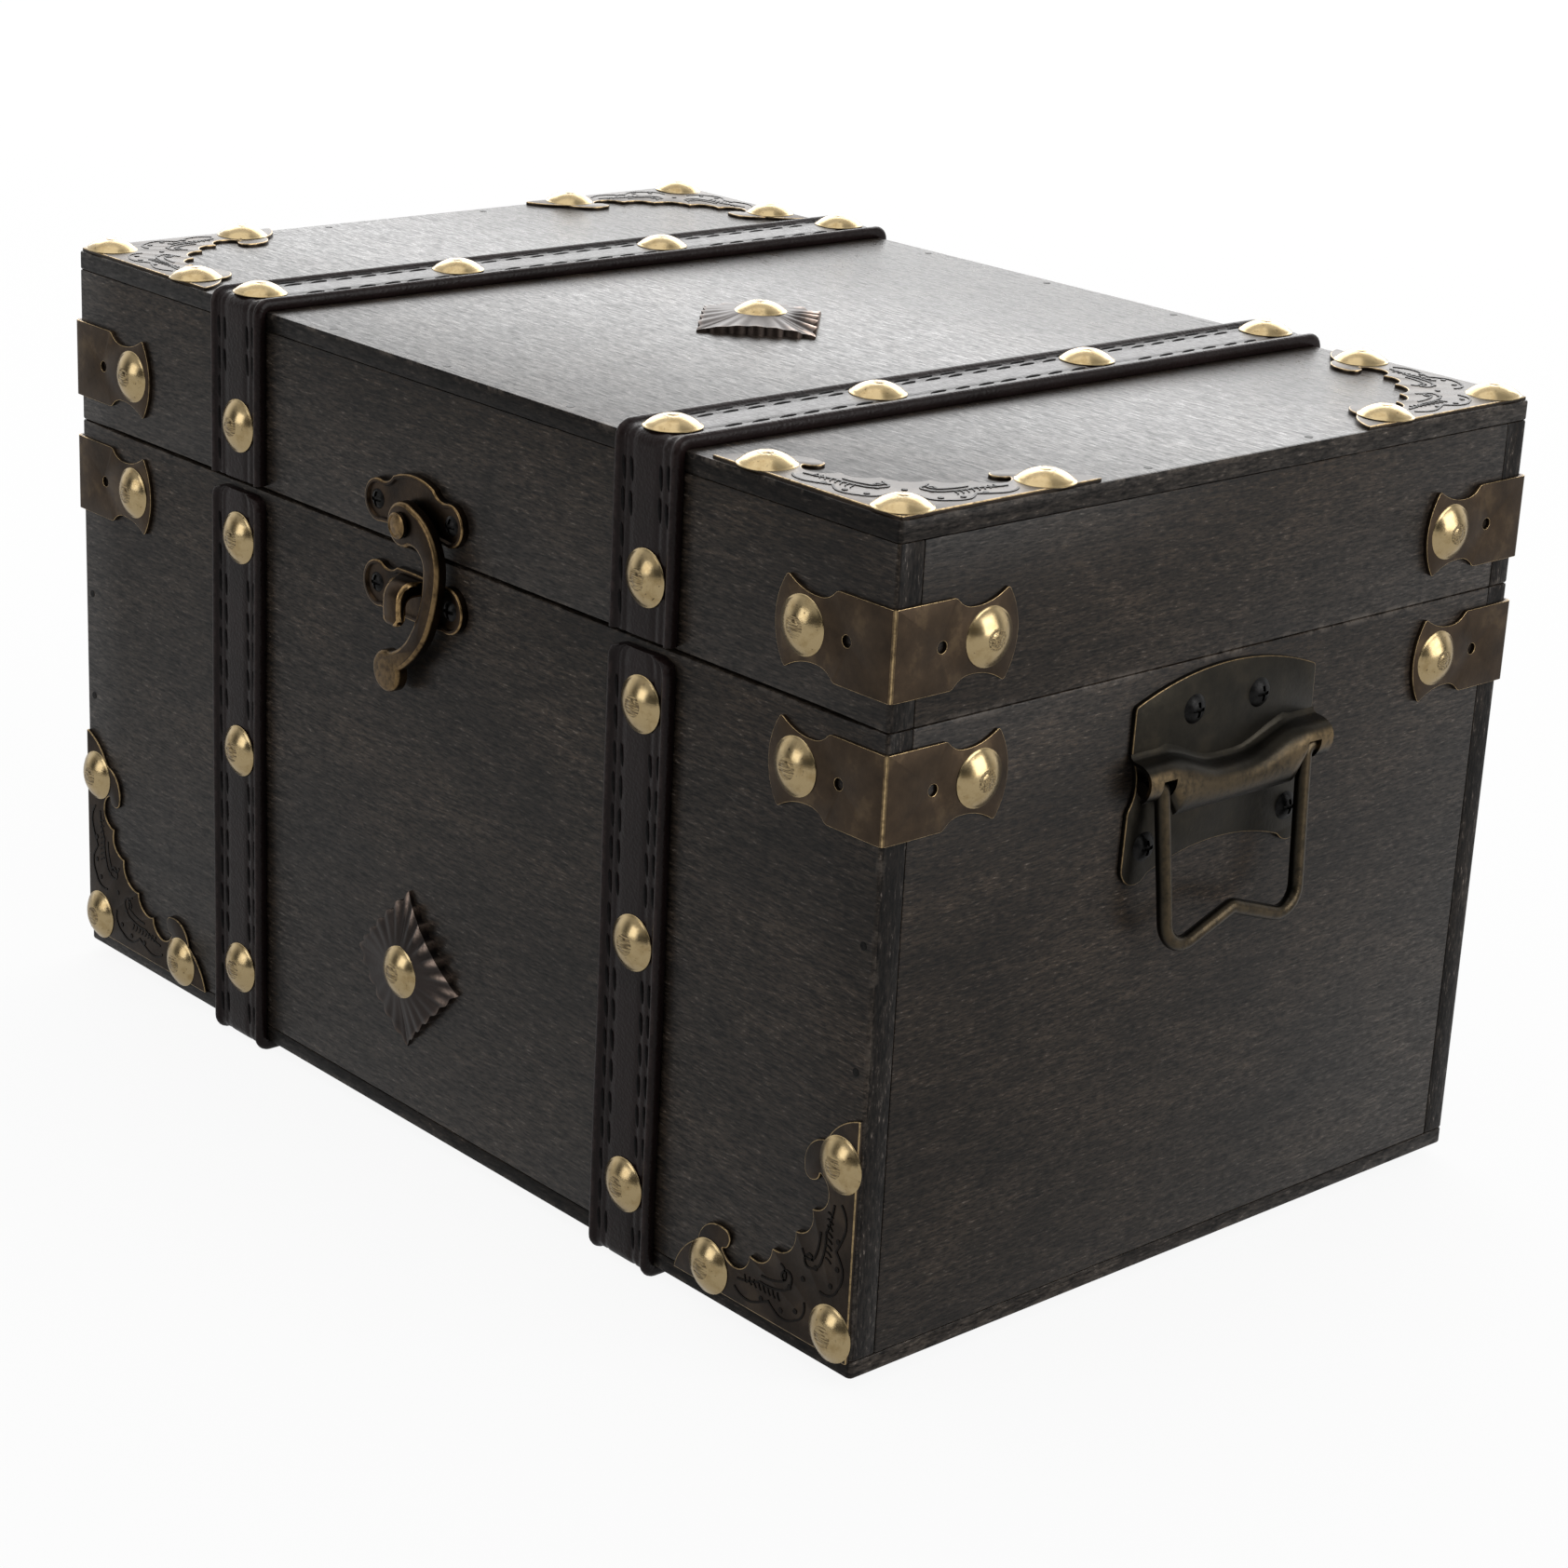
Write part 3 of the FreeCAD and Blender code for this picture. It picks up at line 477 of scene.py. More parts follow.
def close_end(mesh: Mesh, ring: Sequence[Edge]) -> None:
    """Fill a closed ring with one face."""
    bmesh.ops.contextual_create(mesh, geom=list(ring))


def as_template(mesh: Mesh, name: str) -> Template:
    """Mesh data kept for copies.

    Args:
        mesh: The mesh, which is freed.
        name: Name of the data.

    Returns:
        The mesh data.
    """
    data = bpy.data.meshes.new(name)
    mesh.to_mesh(data)
    mesh.free()
    return data


def add_copy(mesh: Mesh, template: Template, place: Matrix) -> None:
    """Add a copy of a template.

    Args:
        mesh: Mesh that takes the copy.
        template: Mesh data of the copy.
        place: Where the copy goes.
    """
    copy = template.copy()
    copy.transform(place)
    mesh.from_mesh(copy)
    bpy.data.meshes.remove(copy)


def join(mesh: Mesh, part: Mesh, place: Matrix) -> None:
    """Add a part.

    Args:
        mesh: Mesh that takes the part.
        part: The part, which is freed.
        place: Where the part goes.
    """
    template = as_template(part, "part")
    add_copy(mesh, template, place)
    bpy.data.meshes.remove(template)


@dataclass(frozen=True)
class Listing:
    """Where a finished piece belongs.

    Attributes:
        name: Name of the piece.
        body: Body that it rides on.
        slot: Finish slot of the record.
        nodes: Solids that it stands for.
    """

    name: str
    body: Body
    slot: Slot
    nodes: tuple[str, ...] = ()

    @classmethod
    def of(cls, node: str, look: str, body: Body, slot: Slot) -> "Listing":
        """Listing of a piece that stands for one solid and is named after it."""
        return cls(node + "_" + look, body, slot, (node,))


def hand_over(mesh: Mesh, listing: Listing, finishes: Sequence[Material],
              sharp: float = 32.0) -> bpy.types.Object:
    """Make a mesh in millimetres a finished piece of the chest.

    Args:
        mesh: The mesh, which is freed.
        listing: Where the piece belongs.
        finishes: Its materials by index.
        sharp: Edges that turn by more than this many degrees stay crisp.

    Returns:
        The piece's object.
    """
    mesh.transform(Matrix.Scale(MM, 4))
    data = bpy.data.meshes.new(listing.name)
    mesh.to_mesh(data)
    mesh.free()
    for finish in finishes:
        data.materials.append(finish)
    data.shade_smooth()
    data.set_sharp_from_angle(angle=math.radians(sharp))
    piece = bpy.data.objects.new(listing.name, data)
    bpy.context.scene.collection.objects.link(piece)
    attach(piece, listing.body.value)
    if listing.nodes:
        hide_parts(*listing.nodes)
    LOG.info("%s rides on %s with %d faces", listing.name, listing.body.value, len(data.polygons))
    return piece


def bronze_copies(template: Template, places: Iterable[tuple[str, Body, Matrix]],
                  finishes: Sequence[Material], sharp: float = 32.0) -> None:
    """Make a bronze piece of each copy of a template, which is freed.

    Args:
        template: Mesh data of one copy.
        places: Solid, body and place of each copy.
        finishes: Materials by index.
        sharp: Edges that turn by more than this many degrees stay crisp.
    """
    for node, body, place in places:
        mesh = new_mesh()
        add_copy(mesh, template, place)
        hand_over(mesh, Listing.of(node, "bronze", body, Slot.BRONZE), finishes, sharp)
    bpy.data.meshes.remove(template)


# Finishes

class Nodes:
    """Node tree that is put together step by step."""

    def __init__(self, tree: bpy.types.NodeTree) -> None:
        """Take over a tree and empty it."""
        self.tree = tree
        tree.nodes.clear()

    def add(self, kind: str, **values: object) -> bpy.types.Node:
        """New node.

        Args:
            kind: Kind of the node.
            **values: Links or values of its inputs; underscores in their names stand for spaces.

        Returns:
            The node.
        """
        node = self.tree.nodes.new("ShaderNode" + kind)
        for name, value in values.items():
            self.feed(node.inputs[name.replace("_", " ")], value)
        return node

    def feed(self, socket: Socket, value: object) -> None:
        """Link a socket, or write its own value.

        Args:
            socket: Input of a node.
            value: Output of a node, or a number, vector or colour.
        """
        if isinstance(value, Socket):
            self.tree.links.new(value, socket)
        elif isinstance(value, tuple) and len(value) == 3 and socket.type == "RGBA":
            socket.default_value = (*value, 1.0)
        else:
            socket.default_value = value

    def math(self, operation: str, first: object, second: object = 0.0) -> Socket:
        """One arithmetic step.

        Args:
            operation: Kind of the step.
            first: First socket or number.
            second: Second socket or number.

        Returns:
            Socket of the result.
        """
        node = self.add("Math")
        node.operation = operation
        for socket, value in zip(node.inputs, (first, second)):
            self.feed(socket, value)
        return node.outputs["Value"]

    def level(self, value: Socket, low: float, high: float, start: float = 0.0,
              end: float = 1.0) -> Socket:
        """Value moved from the range low to high onto start to end, and held there."""
        node = self.add("MapRange", Value=value, From_Min=low, From_Max=high, To_Min=start, To_Max=end)
        return node.outputs["Result"]

    def rise(self, value: Socket, low: float, high: float) -> Socket:
        """Smooth rise from 0 to 1.

        Args:
            value: What the rise depends on.
            low: Where it starts.
            high: Where it ends.

        Returns:
            Socket of the result.
        """
        node = self.add("MapRange", Value=value, From_Min=low, From_Max=high)
        node.interpolation_type = "SMOOTHSTEP"
        return node.outputs["Result"]


class Recipe(Nodes):
    """Node tree of one finish."""

    def __init__(self, name: str) -> None:
        """Start a material with its shader.

        Args:
            name: Name of the material.
        """
        self.material = bpy.data.materials.new(name)
        self.material.use_nodes = True
        super().__init__(self.material.node_tree)
        self.shader = self.add("BsdfPrincipled")
        self.add("OutputMaterial", Surface=self.shader.outputs["BSDF"])
        self.place = self.add("TexCoord").outputs["Object"]

    def set(self, **values: object) -> None:
        """Set or link the shader's sockets; underscores in the names stand for spaces."""
        for name, value in values.items():
            self.feed(self.shader.inputs[name.replace("_", " ")], value)

    def stretched(self, scale: Sequence[float]) -> Socket:
        """Object coordinates with a scale for each axis."""
        return self.add("Mapping", Vector=self.place, Scale=scale).outputs["Vector"]

    def noise(self, vector: Socket, scale: float, detail: float = 3.0, roughness: float = 0.55) -> Socket:
        """Cloudy pattern between 0 and 1."""
        node = self.add("TexNoise", Vector=vector, Scale=scale, Detail=detail, Roughness=roughness)
        return node.outputs["Fac"]

    def cells(self, scale: float) -> Socket:
        """Distance pattern of small cells."""
        return self.add("TexVoronoi", Vector=self.place, Scale=scale).outputs["Distance"]

    def ramp(self, value: Socket, stops: Stops) -> Socket:
        """Colour along a ramp.

        Args:
            value: Place on the ramp.
            stops: Positions and their colours.

        Returns:
            Socket of the colour.
        """
        node = self.add("ValToRGB", Fac=value)
        elements = node.color_ramp.elements
        while len(elements) < len(stops):
            elements.new(1.0)
        for element, (position, colour) in zip(elements, stops):
            element.position = position
            element.color = (*colour, 1.0)
        return node.outputs["Color"]

    def blend(self, amount: object, first: object, second: object, mode: str = "MIX") -> Socket:
        """Two colours blended.

        Args:
            amount: Share of the second colour.
            first: First colour.
            second: Second colour.
            mode: How the second colour acts on the first.

        Returns:
            Socket of the colour.
        """
        node = self.add("Mix")
        node.data_type = "RGBA"
        node.blend_type = mode
        sockets = [socket for socket in node.inputs if socket.type == "RGBA"]
        self.feed(node.inputs["Factor"], amount)
        self.feed(sockets[0], first)
        self.feed(sockets[1], second)
        return next(socket for socket in node.outputs if socket.type == "RGBA")

    def bump(self, height: Socket, strength: float, distance: float) -> Socket:
        """Surface relief from a height pattern, its distance in metres."""
        return self.add("Bump", Height=height, Strength=strength, Distance=distance).outputs["Normal"]

    def wear(self) -> Socket:
        """The mesh's own layer of rubbed edges.

        Returns:
            Socket of the layer.
        """
        node = self.add("Attribute")
        node.attribute_name = "wear"
        return node.outputs["Fac"]


@dataclass(frozen=True)
class StainedWood:
    """Charcoal stain over fine-grained ply, rubbed pale along the case's edges."""

    name: str
    grain: Grain
    dark: Colour = (0.0085, 0.0063, 0.0048)
    middle: Colour = (0.0230, 0.0174, 0.0132)
    pale: Colour = (0.074, 0.0635, 0.0545)
    rubbed: Colour = (0.115, 0.096, 0.080)
    sheen: float = 0.22
    streak: Stops = ((0.32, (0.66, 0.66, 0.67)), (0.52, (1.0, 1.0, 1.0)), (0.70, (1.55, 1.52, 1.48)))
    depth: Stops = ((0.30, (0.50, 0.51, 0.53)), (0.52, (1.0, 1.0, 1.0)), (0.72, (1.6, 1.56, 1.5)))
    tone: Stops = ((0.375, (0.40, 0.40, 0.40)), (0.625, (1.60, 1.60, 1.60)))

    def edge_distance(self, recipe: Recipe) -> Socket:
        """Distance from the nearest outer edge of the case.

        Args:
            recipe: Node tree of the finish.

        Returns:
            Socket of the distance in metres.
        """
        x, y, z = recipe.add("SeparateXYZ", Vector=recipe.place).outputs
        side = recipe.math("SUBTRACT", HALF_WIDTH * MM, recipe.math("ABSOLUTE", x))
        depth = recipe.math("SUBTRACT", HALF_DEPTH * MM, recipe.math("ABSOLUTE", y))
        above = recipe.math("SUBTRACT", TOP_Z * MM, z)
        below = recipe.math("SUBTRACT", z, WOOD_Z * MM)
        seam = recipe.math("ABSOLUTE", recipe.math("SUBTRACT", z, SEAM_Z * MM))
        level = recipe.math("MINIMUM", recipe.math("MINIMUM", above, below), seam)
        flat = recipe.math("ADD", recipe.math("MINIMUM", side, depth), level)
        return recipe.math("MINIMUM", recipe.math("ADD", side, depth), flat)

    def along_grain(self, recipe: Recipe, share: float) -> Socket:
        """Object coordinates drawn out along the grain, by a share of its full stretch."""
        return recipe.stretched(tuple(1.0 + share * (value - 1.0) for value in self.grain.value))

    def make(self) -> Material:
        """Put the finish together.

        Returns:
            Material with the grain, mottling, flecks and rubbed edges.
        """
        recipe = Recipe(self.name)
        fibre = recipe.noise(self.along_grain(recipe, 1.0), 140.0, 5.0, 0.72)
        fleck = recipe.noise(self.along_grain(recipe, 0.5), 520.0, 3.0, 0.6)
        cloud = recipe.noise(self.along_grain(recipe, 0.16), 20.0, 6.0, 0.7)
        relief = recipe.math("MULTIPLY", recipe.math("ADD", fibre, fleck), 0.5)
        stain = recipe.ramp(
            fleck, [(0.33, self.dark), (0.50, self.middle), (0.61, self.middle), (0.76, self.pale)]
        )
        for pattern, stops in ((fibre, self.streak), (cloud, self.depth), (relief, self.tone)):
            stain = recipe.blend(1.0, stain, recipe.ramp(pattern, stops), "MULTIPLY")
        edge = recipe.level(self.edge_distance(recipe), 0.0002, 0.0013, 1.0, 0.0)
        scuff = recipe.level(recipe.noise(recipe.place, 170.0, 5.0, 0.75), 0.50, 0.62, 0.0, 0.75)
        stain = recipe.blend(recipe.math("MULTIPLY", edge, scuff), stain, self.rubbed)
        recipe.set(
            Base_Color=stain,
            Roughness=recipe.level(relief, 0.36, 0.64, 0.48, 0.22),
            Specular_IOR_Level=self.sheen,
            Normal=recipe.bump(relief, 0.16, 0.00025),
        )
        return recipe.material


@dataclass(frozen=True)
class StrapLeather:
    """Near-black brown leather with a fine grain and a soft polish."""

    name: str = "strap_leather_finish"
    deep: Colour = (0.0066, 0.0034, 0.0032)
    worn: Colour = (0.0145, 0.0082, 0.0078)
    rubbed: Colour = (0.027, 0.0175, 0.0165)

    def make(self) -> Material:
        """Put the finish together.

        Returns:
            Material with pebble grain, creases and rubbed ridges.
        """
        recipe = Recipe(self.name)
        cloud = recipe.noise(recipe.place, 60.0, 5.0, 0.65)
        pebble = recipe.cells(1500.0)
        crease = recipe.noise(recipe.place, 520.0, 4.0, 0.7)
        hide = recipe.ramp(cloud, [(0.32, self.deep), (0.70, self.worn)])
        ridge = recipe.math("MULTIPLY", recipe.wear(), recipe.level(crease, 0.42, 0.62))
        recipe.set(
            Base_Color=recipe.blend(ridge, hide, self.rubbed),
            Roughness=recipe.level(crease, 0.3, 0.7, 0.28, 0.40),
            Specular_IOR_Level=0.17,
            Normal=recipe.bump(recipe.math("ADD", pebble, crease), 0.28, 0.00018),
        )
        return recipe.material


@dataclass(frozen=True)
class StitchThread:
    """Dark waxed thread sunk in its groove."""

    name: str = "stitch_thread_finish"
    deep: Colour = (0.0022, 0.0018, 0.0019)
    pale: Colour = (0.0065, 0.0054, 0.0054)

    def make(self) -> Material:
        """Put the finish together.

        Returns:
            Material with a twisted strand pattern.
        """
        recipe = Recipe(self.name)
        strand = recipe.noise(recipe.place, 1400.0, 2.0, 0.5)
        recipe.set(
            Base_Color=recipe.ramp(strand, [(0.35, self.deep), (0.65, self.pale)]),
            Roughness=0.75,
            Specular_IOR_Level=0.12,
            Normal=recipe.bump(strand, 0.4, 0.0002),
        )
        return recipe.material


@dataclass(frozen=True)
class NailBrass:
    """Pale polished brass with small dents and tarnish."""

    name: str = "nail_brass_finish"
    bright: Colour = (0.47, 0.360, 0.195)
    dull: Colour = (0.37, 0.268, 0.130)
    tarnish: Colour = (0.080, 0.055, 0.030)

    def make(self) -> Material:
        """Put the finish together.

        Returns:
            Material with cloudy polish, specks and fine scratches.
        """
        recipe = Recipe(self.name)
        cloud = recipe.noise(recipe.place, 420.0, 4.0, 0.6)
        speck = recipe.noise(recipe.place, 1500.0, 3.0, 0.6)
        scratch = recipe.noise(recipe.stretched((0.4, 2.6, 6.0)), 900.0, 3.0, 0.6)
        metal = recipe.ramp(cloud, [(0.30, self.dull), (0.52, self.bright)])
        dull = recipe.level(cloud, 0.60, 0.42)
        spots = recipe.math("MULTIPLY", recipe.level(speck, 0.64, 0.72), dull)
        struck = recipe.math("MULTIPLY", recipe.wear(), recipe.level(scratch, 0.42, 0.60))
        grime = recipe.math("MAXIMUM", spots, struck)
        dents = recipe.math("ADD", scratch, recipe.math("MULTIPLY", cloud, 1.5))
        recipe.set(
            Base_Color=recipe.blend(grime, metal, self.tarnish),
            Metallic=1.0,
            Roughness=recipe.level(cloud, 0.3, 0.7, 0.27, 0.18),
            Normal=recipe.bump(dents, 0.05, 0.0002),
        )
        return recipe.material


@dataclass(frozen=True)
class AntiqueBronze:
    """Brown patina over bronze, rubbed to bright metal along the edges.

    Attributes:
        name: Name of the material.
        patina: Colour of the flat faces.
        deep: Colour of the darkest patches.
        rubbed: Colour of bare edges.
        gloss: Roughness of the patina.
        handled: Share of the flat faces rubbed by use.
    """

    name: str
    patina: Colour = (0.068, 0.0470, 0.0305)
    deep: Colour = (0.038, 0.0275, 0.0195)
    rubbed: Colour = (0.55, 0.395, 0.200)
    gloss: float = 0.46
    handled: float = 0.08

    def make(self) -> Material:
        """Put the finish together.

        Returns:
            Material with mottled patina and rubbed edges.
        """
        recipe = Recipe(self.name)
        cloud = recipe.noise(recipe.place, 130.0, 5.0, 0.62)
        fine = recipe.noise(recipe.place, 900.0, 4.0, 0.6)
        patina = recipe.ramp(cloud, [(0.30, self.deep), (0.60, self.patina)])
        patches = recipe.math("ADD", fine, recipe.math("MULTIPLY", cloud, 0.6))
        edge = recipe.math("MULTIPLY", recipe.wear(), recipe.level(patches, 0.60, 0.88, 0.3, 1.0))
        use = recipe.math("MULTIPLY", recipe.level(cloud, 0.55, 0.75), self.handled)
        bare = recipe.math("MAXIMUM", edge, use)
        recipe.set(
            Base_Color=recipe.blend(bare, patina, self.rubbed),
            Metallic=1.0,
            Roughness=recipe.level(bare, 0.0, 1.0, self.gloss, 0.30),
            Normal=recipe.bump(recipe.math("ADD", fine, cloud), 0.12, 0.0003),
        )
        return recipe.material


@dataclass(frozen=True)
class PlainMetal:
    """Dark metal of screws, brads and engraved lines.

    Attributes:
        name: Name of the material.
        low: Darker colour.
        high: Lighter colour.
        gloss: Roughness.
    """

    name: str
    low: Colour
    high: Colour
    gloss: float = 0.45

    def make(self) -> Material:
        """Put the finish together.

        Returns:
            Material with a fine mottle.
        """
        recipe = Recipe(self.name)
        fine = recipe.noise(recipe.place, 800.0, 4.0, 0.6)
        recipe.set(
            Base_Color=recipe.ramp(fine, [(0.3, self.low), (0.7, self.high)]),
            Metallic=1.0,
            Roughness=self.gloss,
            Normal=recipe.bump(fine, 0.15, 0.0002),
        )
        return recipe.material


Finish = Union[StainedWood, StrapLeather, StitchThread, NailBrass, AntiqueBronze, PlainMetal]


def material_of(finish: Finish) -> Material:
    """Dataclass field for the material of a finish, made when the dataclass is."""
    return field(default_factory=finish.make)


@dataclass
class Finishes:
    """Every material of the chest, made once."""

    wood_x: Material = material_of(StainedWood("stained_wood_long", Grain.ALONG_X))
    wood_y: Material = material_of(StainedWood("stained_wood_ends", Grain.ALONG_Y))
    ply_level: Material = material_of(StainedWood(
        "ply_edge_level", Grain.PLY_LEVEL, dark=(0.012, 0.0098, 0.0082),
        middle=(0.029, 0.0245, 0.0210), pale=(0.085, 0.072, 0.062), sheen=0.12,
    ))
    # Darker copy of the same ply edge as ply_level: painted shade on the front and back edges of the
    # panels.
    ply_front_shaded: Material = material_of(StainedWood(
        "ply_edge_front_shaded", Grain.PLY_LEVEL, dark=(0.004, 0.0032, 0.0027),
        middle=(0.0105, 0.0084, 0.0070), pale=(0.040, 0.033, 0.028), sheen=0.12,
    ))
    ply_upright: Material = material_of(StainedWood(
        "ply_edge_upright", Grain.PLY_UPRIGHT, dark=(0.0042, 0.0034, 0.0029),
        middle=(0.0140, 0.0114, 0.0096), pale=(0.105, 0.089, 0.076), sheen=0.12,
    ))
    leather: Material = material_of(StrapLeather())
    thread: Material = material_of(StitchThread())
    brass: Material = material_of(NailBrass())
    bracket: Material = material_of(AntiqueBronze("bracket_bronze", rubbed=(0.70, 0.50, 0.255)))
    plate: Material = material_of(AntiqueBronze(
        "corner_plate_bronze", patina=(0.043, 0.0330, 0.0260), deep=(0.022, 0.0180, 0.0150),
        gloss=0.40, handled=0.03,
    ))
    # The boss's pale, pinkish rubbed colour is partly wear on the ridge tips and partly a painted
    # highlight.
    boss: Material = material_of(AntiqueBronze(
        "boss_bronze", patina=(0.044, 0.0360, 0.0330), deep=(0.026, 0.0215, 0.0200),
        rubbed=(0.55, 0.415, 0.340), gloss=0.42, handled=0.0,
    ))
    latch: Material = material_of(AntiqueBronze(
        "latch_bronze", patina=(0.042, 0.0268, 0.0158), deep=(0.016, 0.0106, 0.0068),
        rubbed=(0.42, 0.275, 0.125), gloss=0.32, handled=0.07,
    ))
    handle: Material = material_of(AntiqueBronze(
        "handle_bronze", patina=(0.0320, 0.0280, 0.0215), deep=(0.0180, 0.0165, 0.0135),
        rubbed=(0.24, 0.168, 0.088), gloss=0.34, handled=0.05,
    ))
    engraved: Material = material_of(PlainMetal(
        "engraved_line_patina", (0.007, 0.0058, 0.0048), (0.015, 0.012, 0.010), 0.45
    ))
    screw: Material = material_of(PlainMetal(
        "black_screw_finish", (0.010, 0.0098, 0.0097), (0.024, 0.0235, 0.023), 0.40
    ))
    brad: Material = material_of(PlainMetal(
        "brad_steel_finish", (0.006, 0.006, 0.006), (0.020, 0.019, 0.018), 0.5
    ))


# Wood

@dataclass
class Case:
    """Boards, rails and panels of the chest."""

    finishes: Finishes
    corner_round: float = 1.0
    joint_round: float = 0.4
    seam_close: float = 0.3
    hollow_from: float = 114.0

    def board(self, node: str) -> Mesh:
        """Board in the place of a solid, its outer corners rounded more than its joints.

        Args:
            node: Name of the solid.

        Returns:
            The board.
        """
        low, high = (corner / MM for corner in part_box(node))
        mesh = new_mesh()
        bmesh.ops.create_cube(mesh, size=1.0)
        bmesh.ops.scale(mesh, verts=mesh.verts[:], vec=high - low)
        bmesh.ops.translate(mesh, verts=mesh.verts[:], vec=(high + low) / 2)
        self.meet(mesh, "front" in node)
        outer = []
        for edge in mesh.edges:
            middle = (edge.verts[0].co + edge.verts[1].co) / 2
            if abs(abs(middle.x) - HALF_WIDTH) < 0.1 and abs(abs(middle.y) - HALF_DEPTH) < 0.1:
                outer.append(edge)
        if outer:
            round_edges(mesh, outer, self.corner_round, 3, 0.0)
        mesh.normal_update()
        crisp = [edge for edge in mesh.edges if edge.calc_face_angle(0.0) > math.radians(50)]
        round_edges(mesh, crisp, self.joint_round, 2, 0.0)
        return mesh

    def meet(self, mesh: Mesh, hollow: bool) -> None:
        """Bring a board's edge near its neighbour across the seam.

        Args:
            mesh: The board.
            hollow: The edge stays open between its ends, as on a front board.
        """
        if hollow:
            for x in (-self.hollow_from, self.hollow_from):
                everything = mesh.verts[:] + mesh.edges[:] + mesh.faces[:]
                bmesh.ops.bisect_plane(mesh, geom=everything, plane_co=(x, 0, 0), plane_no=(1, 0, 0))
        for vert in mesh.verts:
            gap = SEAM_Z - vert.co.z
            stays_open = hollow and abs(vert.co.x) < HALF_WIDTH - 1.0
            if abs(gap) < SEAM_GAP and not stays_open:
                vert.co.z += math.copysign(self.seam_close, gap)

    def build(self) -> None:
        """Make every wooden piece."""
        boards = {Body.BASE: ("front_board", "back_board", "left_board", "right_board"),
                  Body.LID: ("front_rail", "back_rail", "left_rail", "right_rail")}
        for body, names in boards.items():
            for name in names:
                node = body.value + "_" + name
                mesh = self.board(node)
                at_end = name.startswith(("left", "right"))
                if not at_end:
                    for face in mesh.faces:
                        face.material_index = 1 if abs(face.normal.x) > 0.8 else 0
                grain = self.finishes.wood_y if at_end else self.finishes.wood_x
                listing = Listing.of(node, "stained", body, Slot.WOOD)
                hand_over(mesh, listing, [grain, self.finishes.ply_upright])
        for body, node in ((Body.BASE, "base_bottom_panel"), (Body.LID, "lid_top_panel")):
            mesh = self.board(node)
            # The front and back edges take the darker ply copy, which is painted shade.
            for face in mesh.faces:
                if abs(face.normal.x) > 0.5:
                    face.material_index = 1
                elif abs(face.normal.y) > 0.5:
                    face.material_index = 2
            finishes = [self.finishes.wood_x, self.finishes.ply_level, self.finishes.ply_front_shaded]
            hand_over(mesh, Listing.of(node, "stained", body, Slot.WOOD), finishes)


# Leather straps

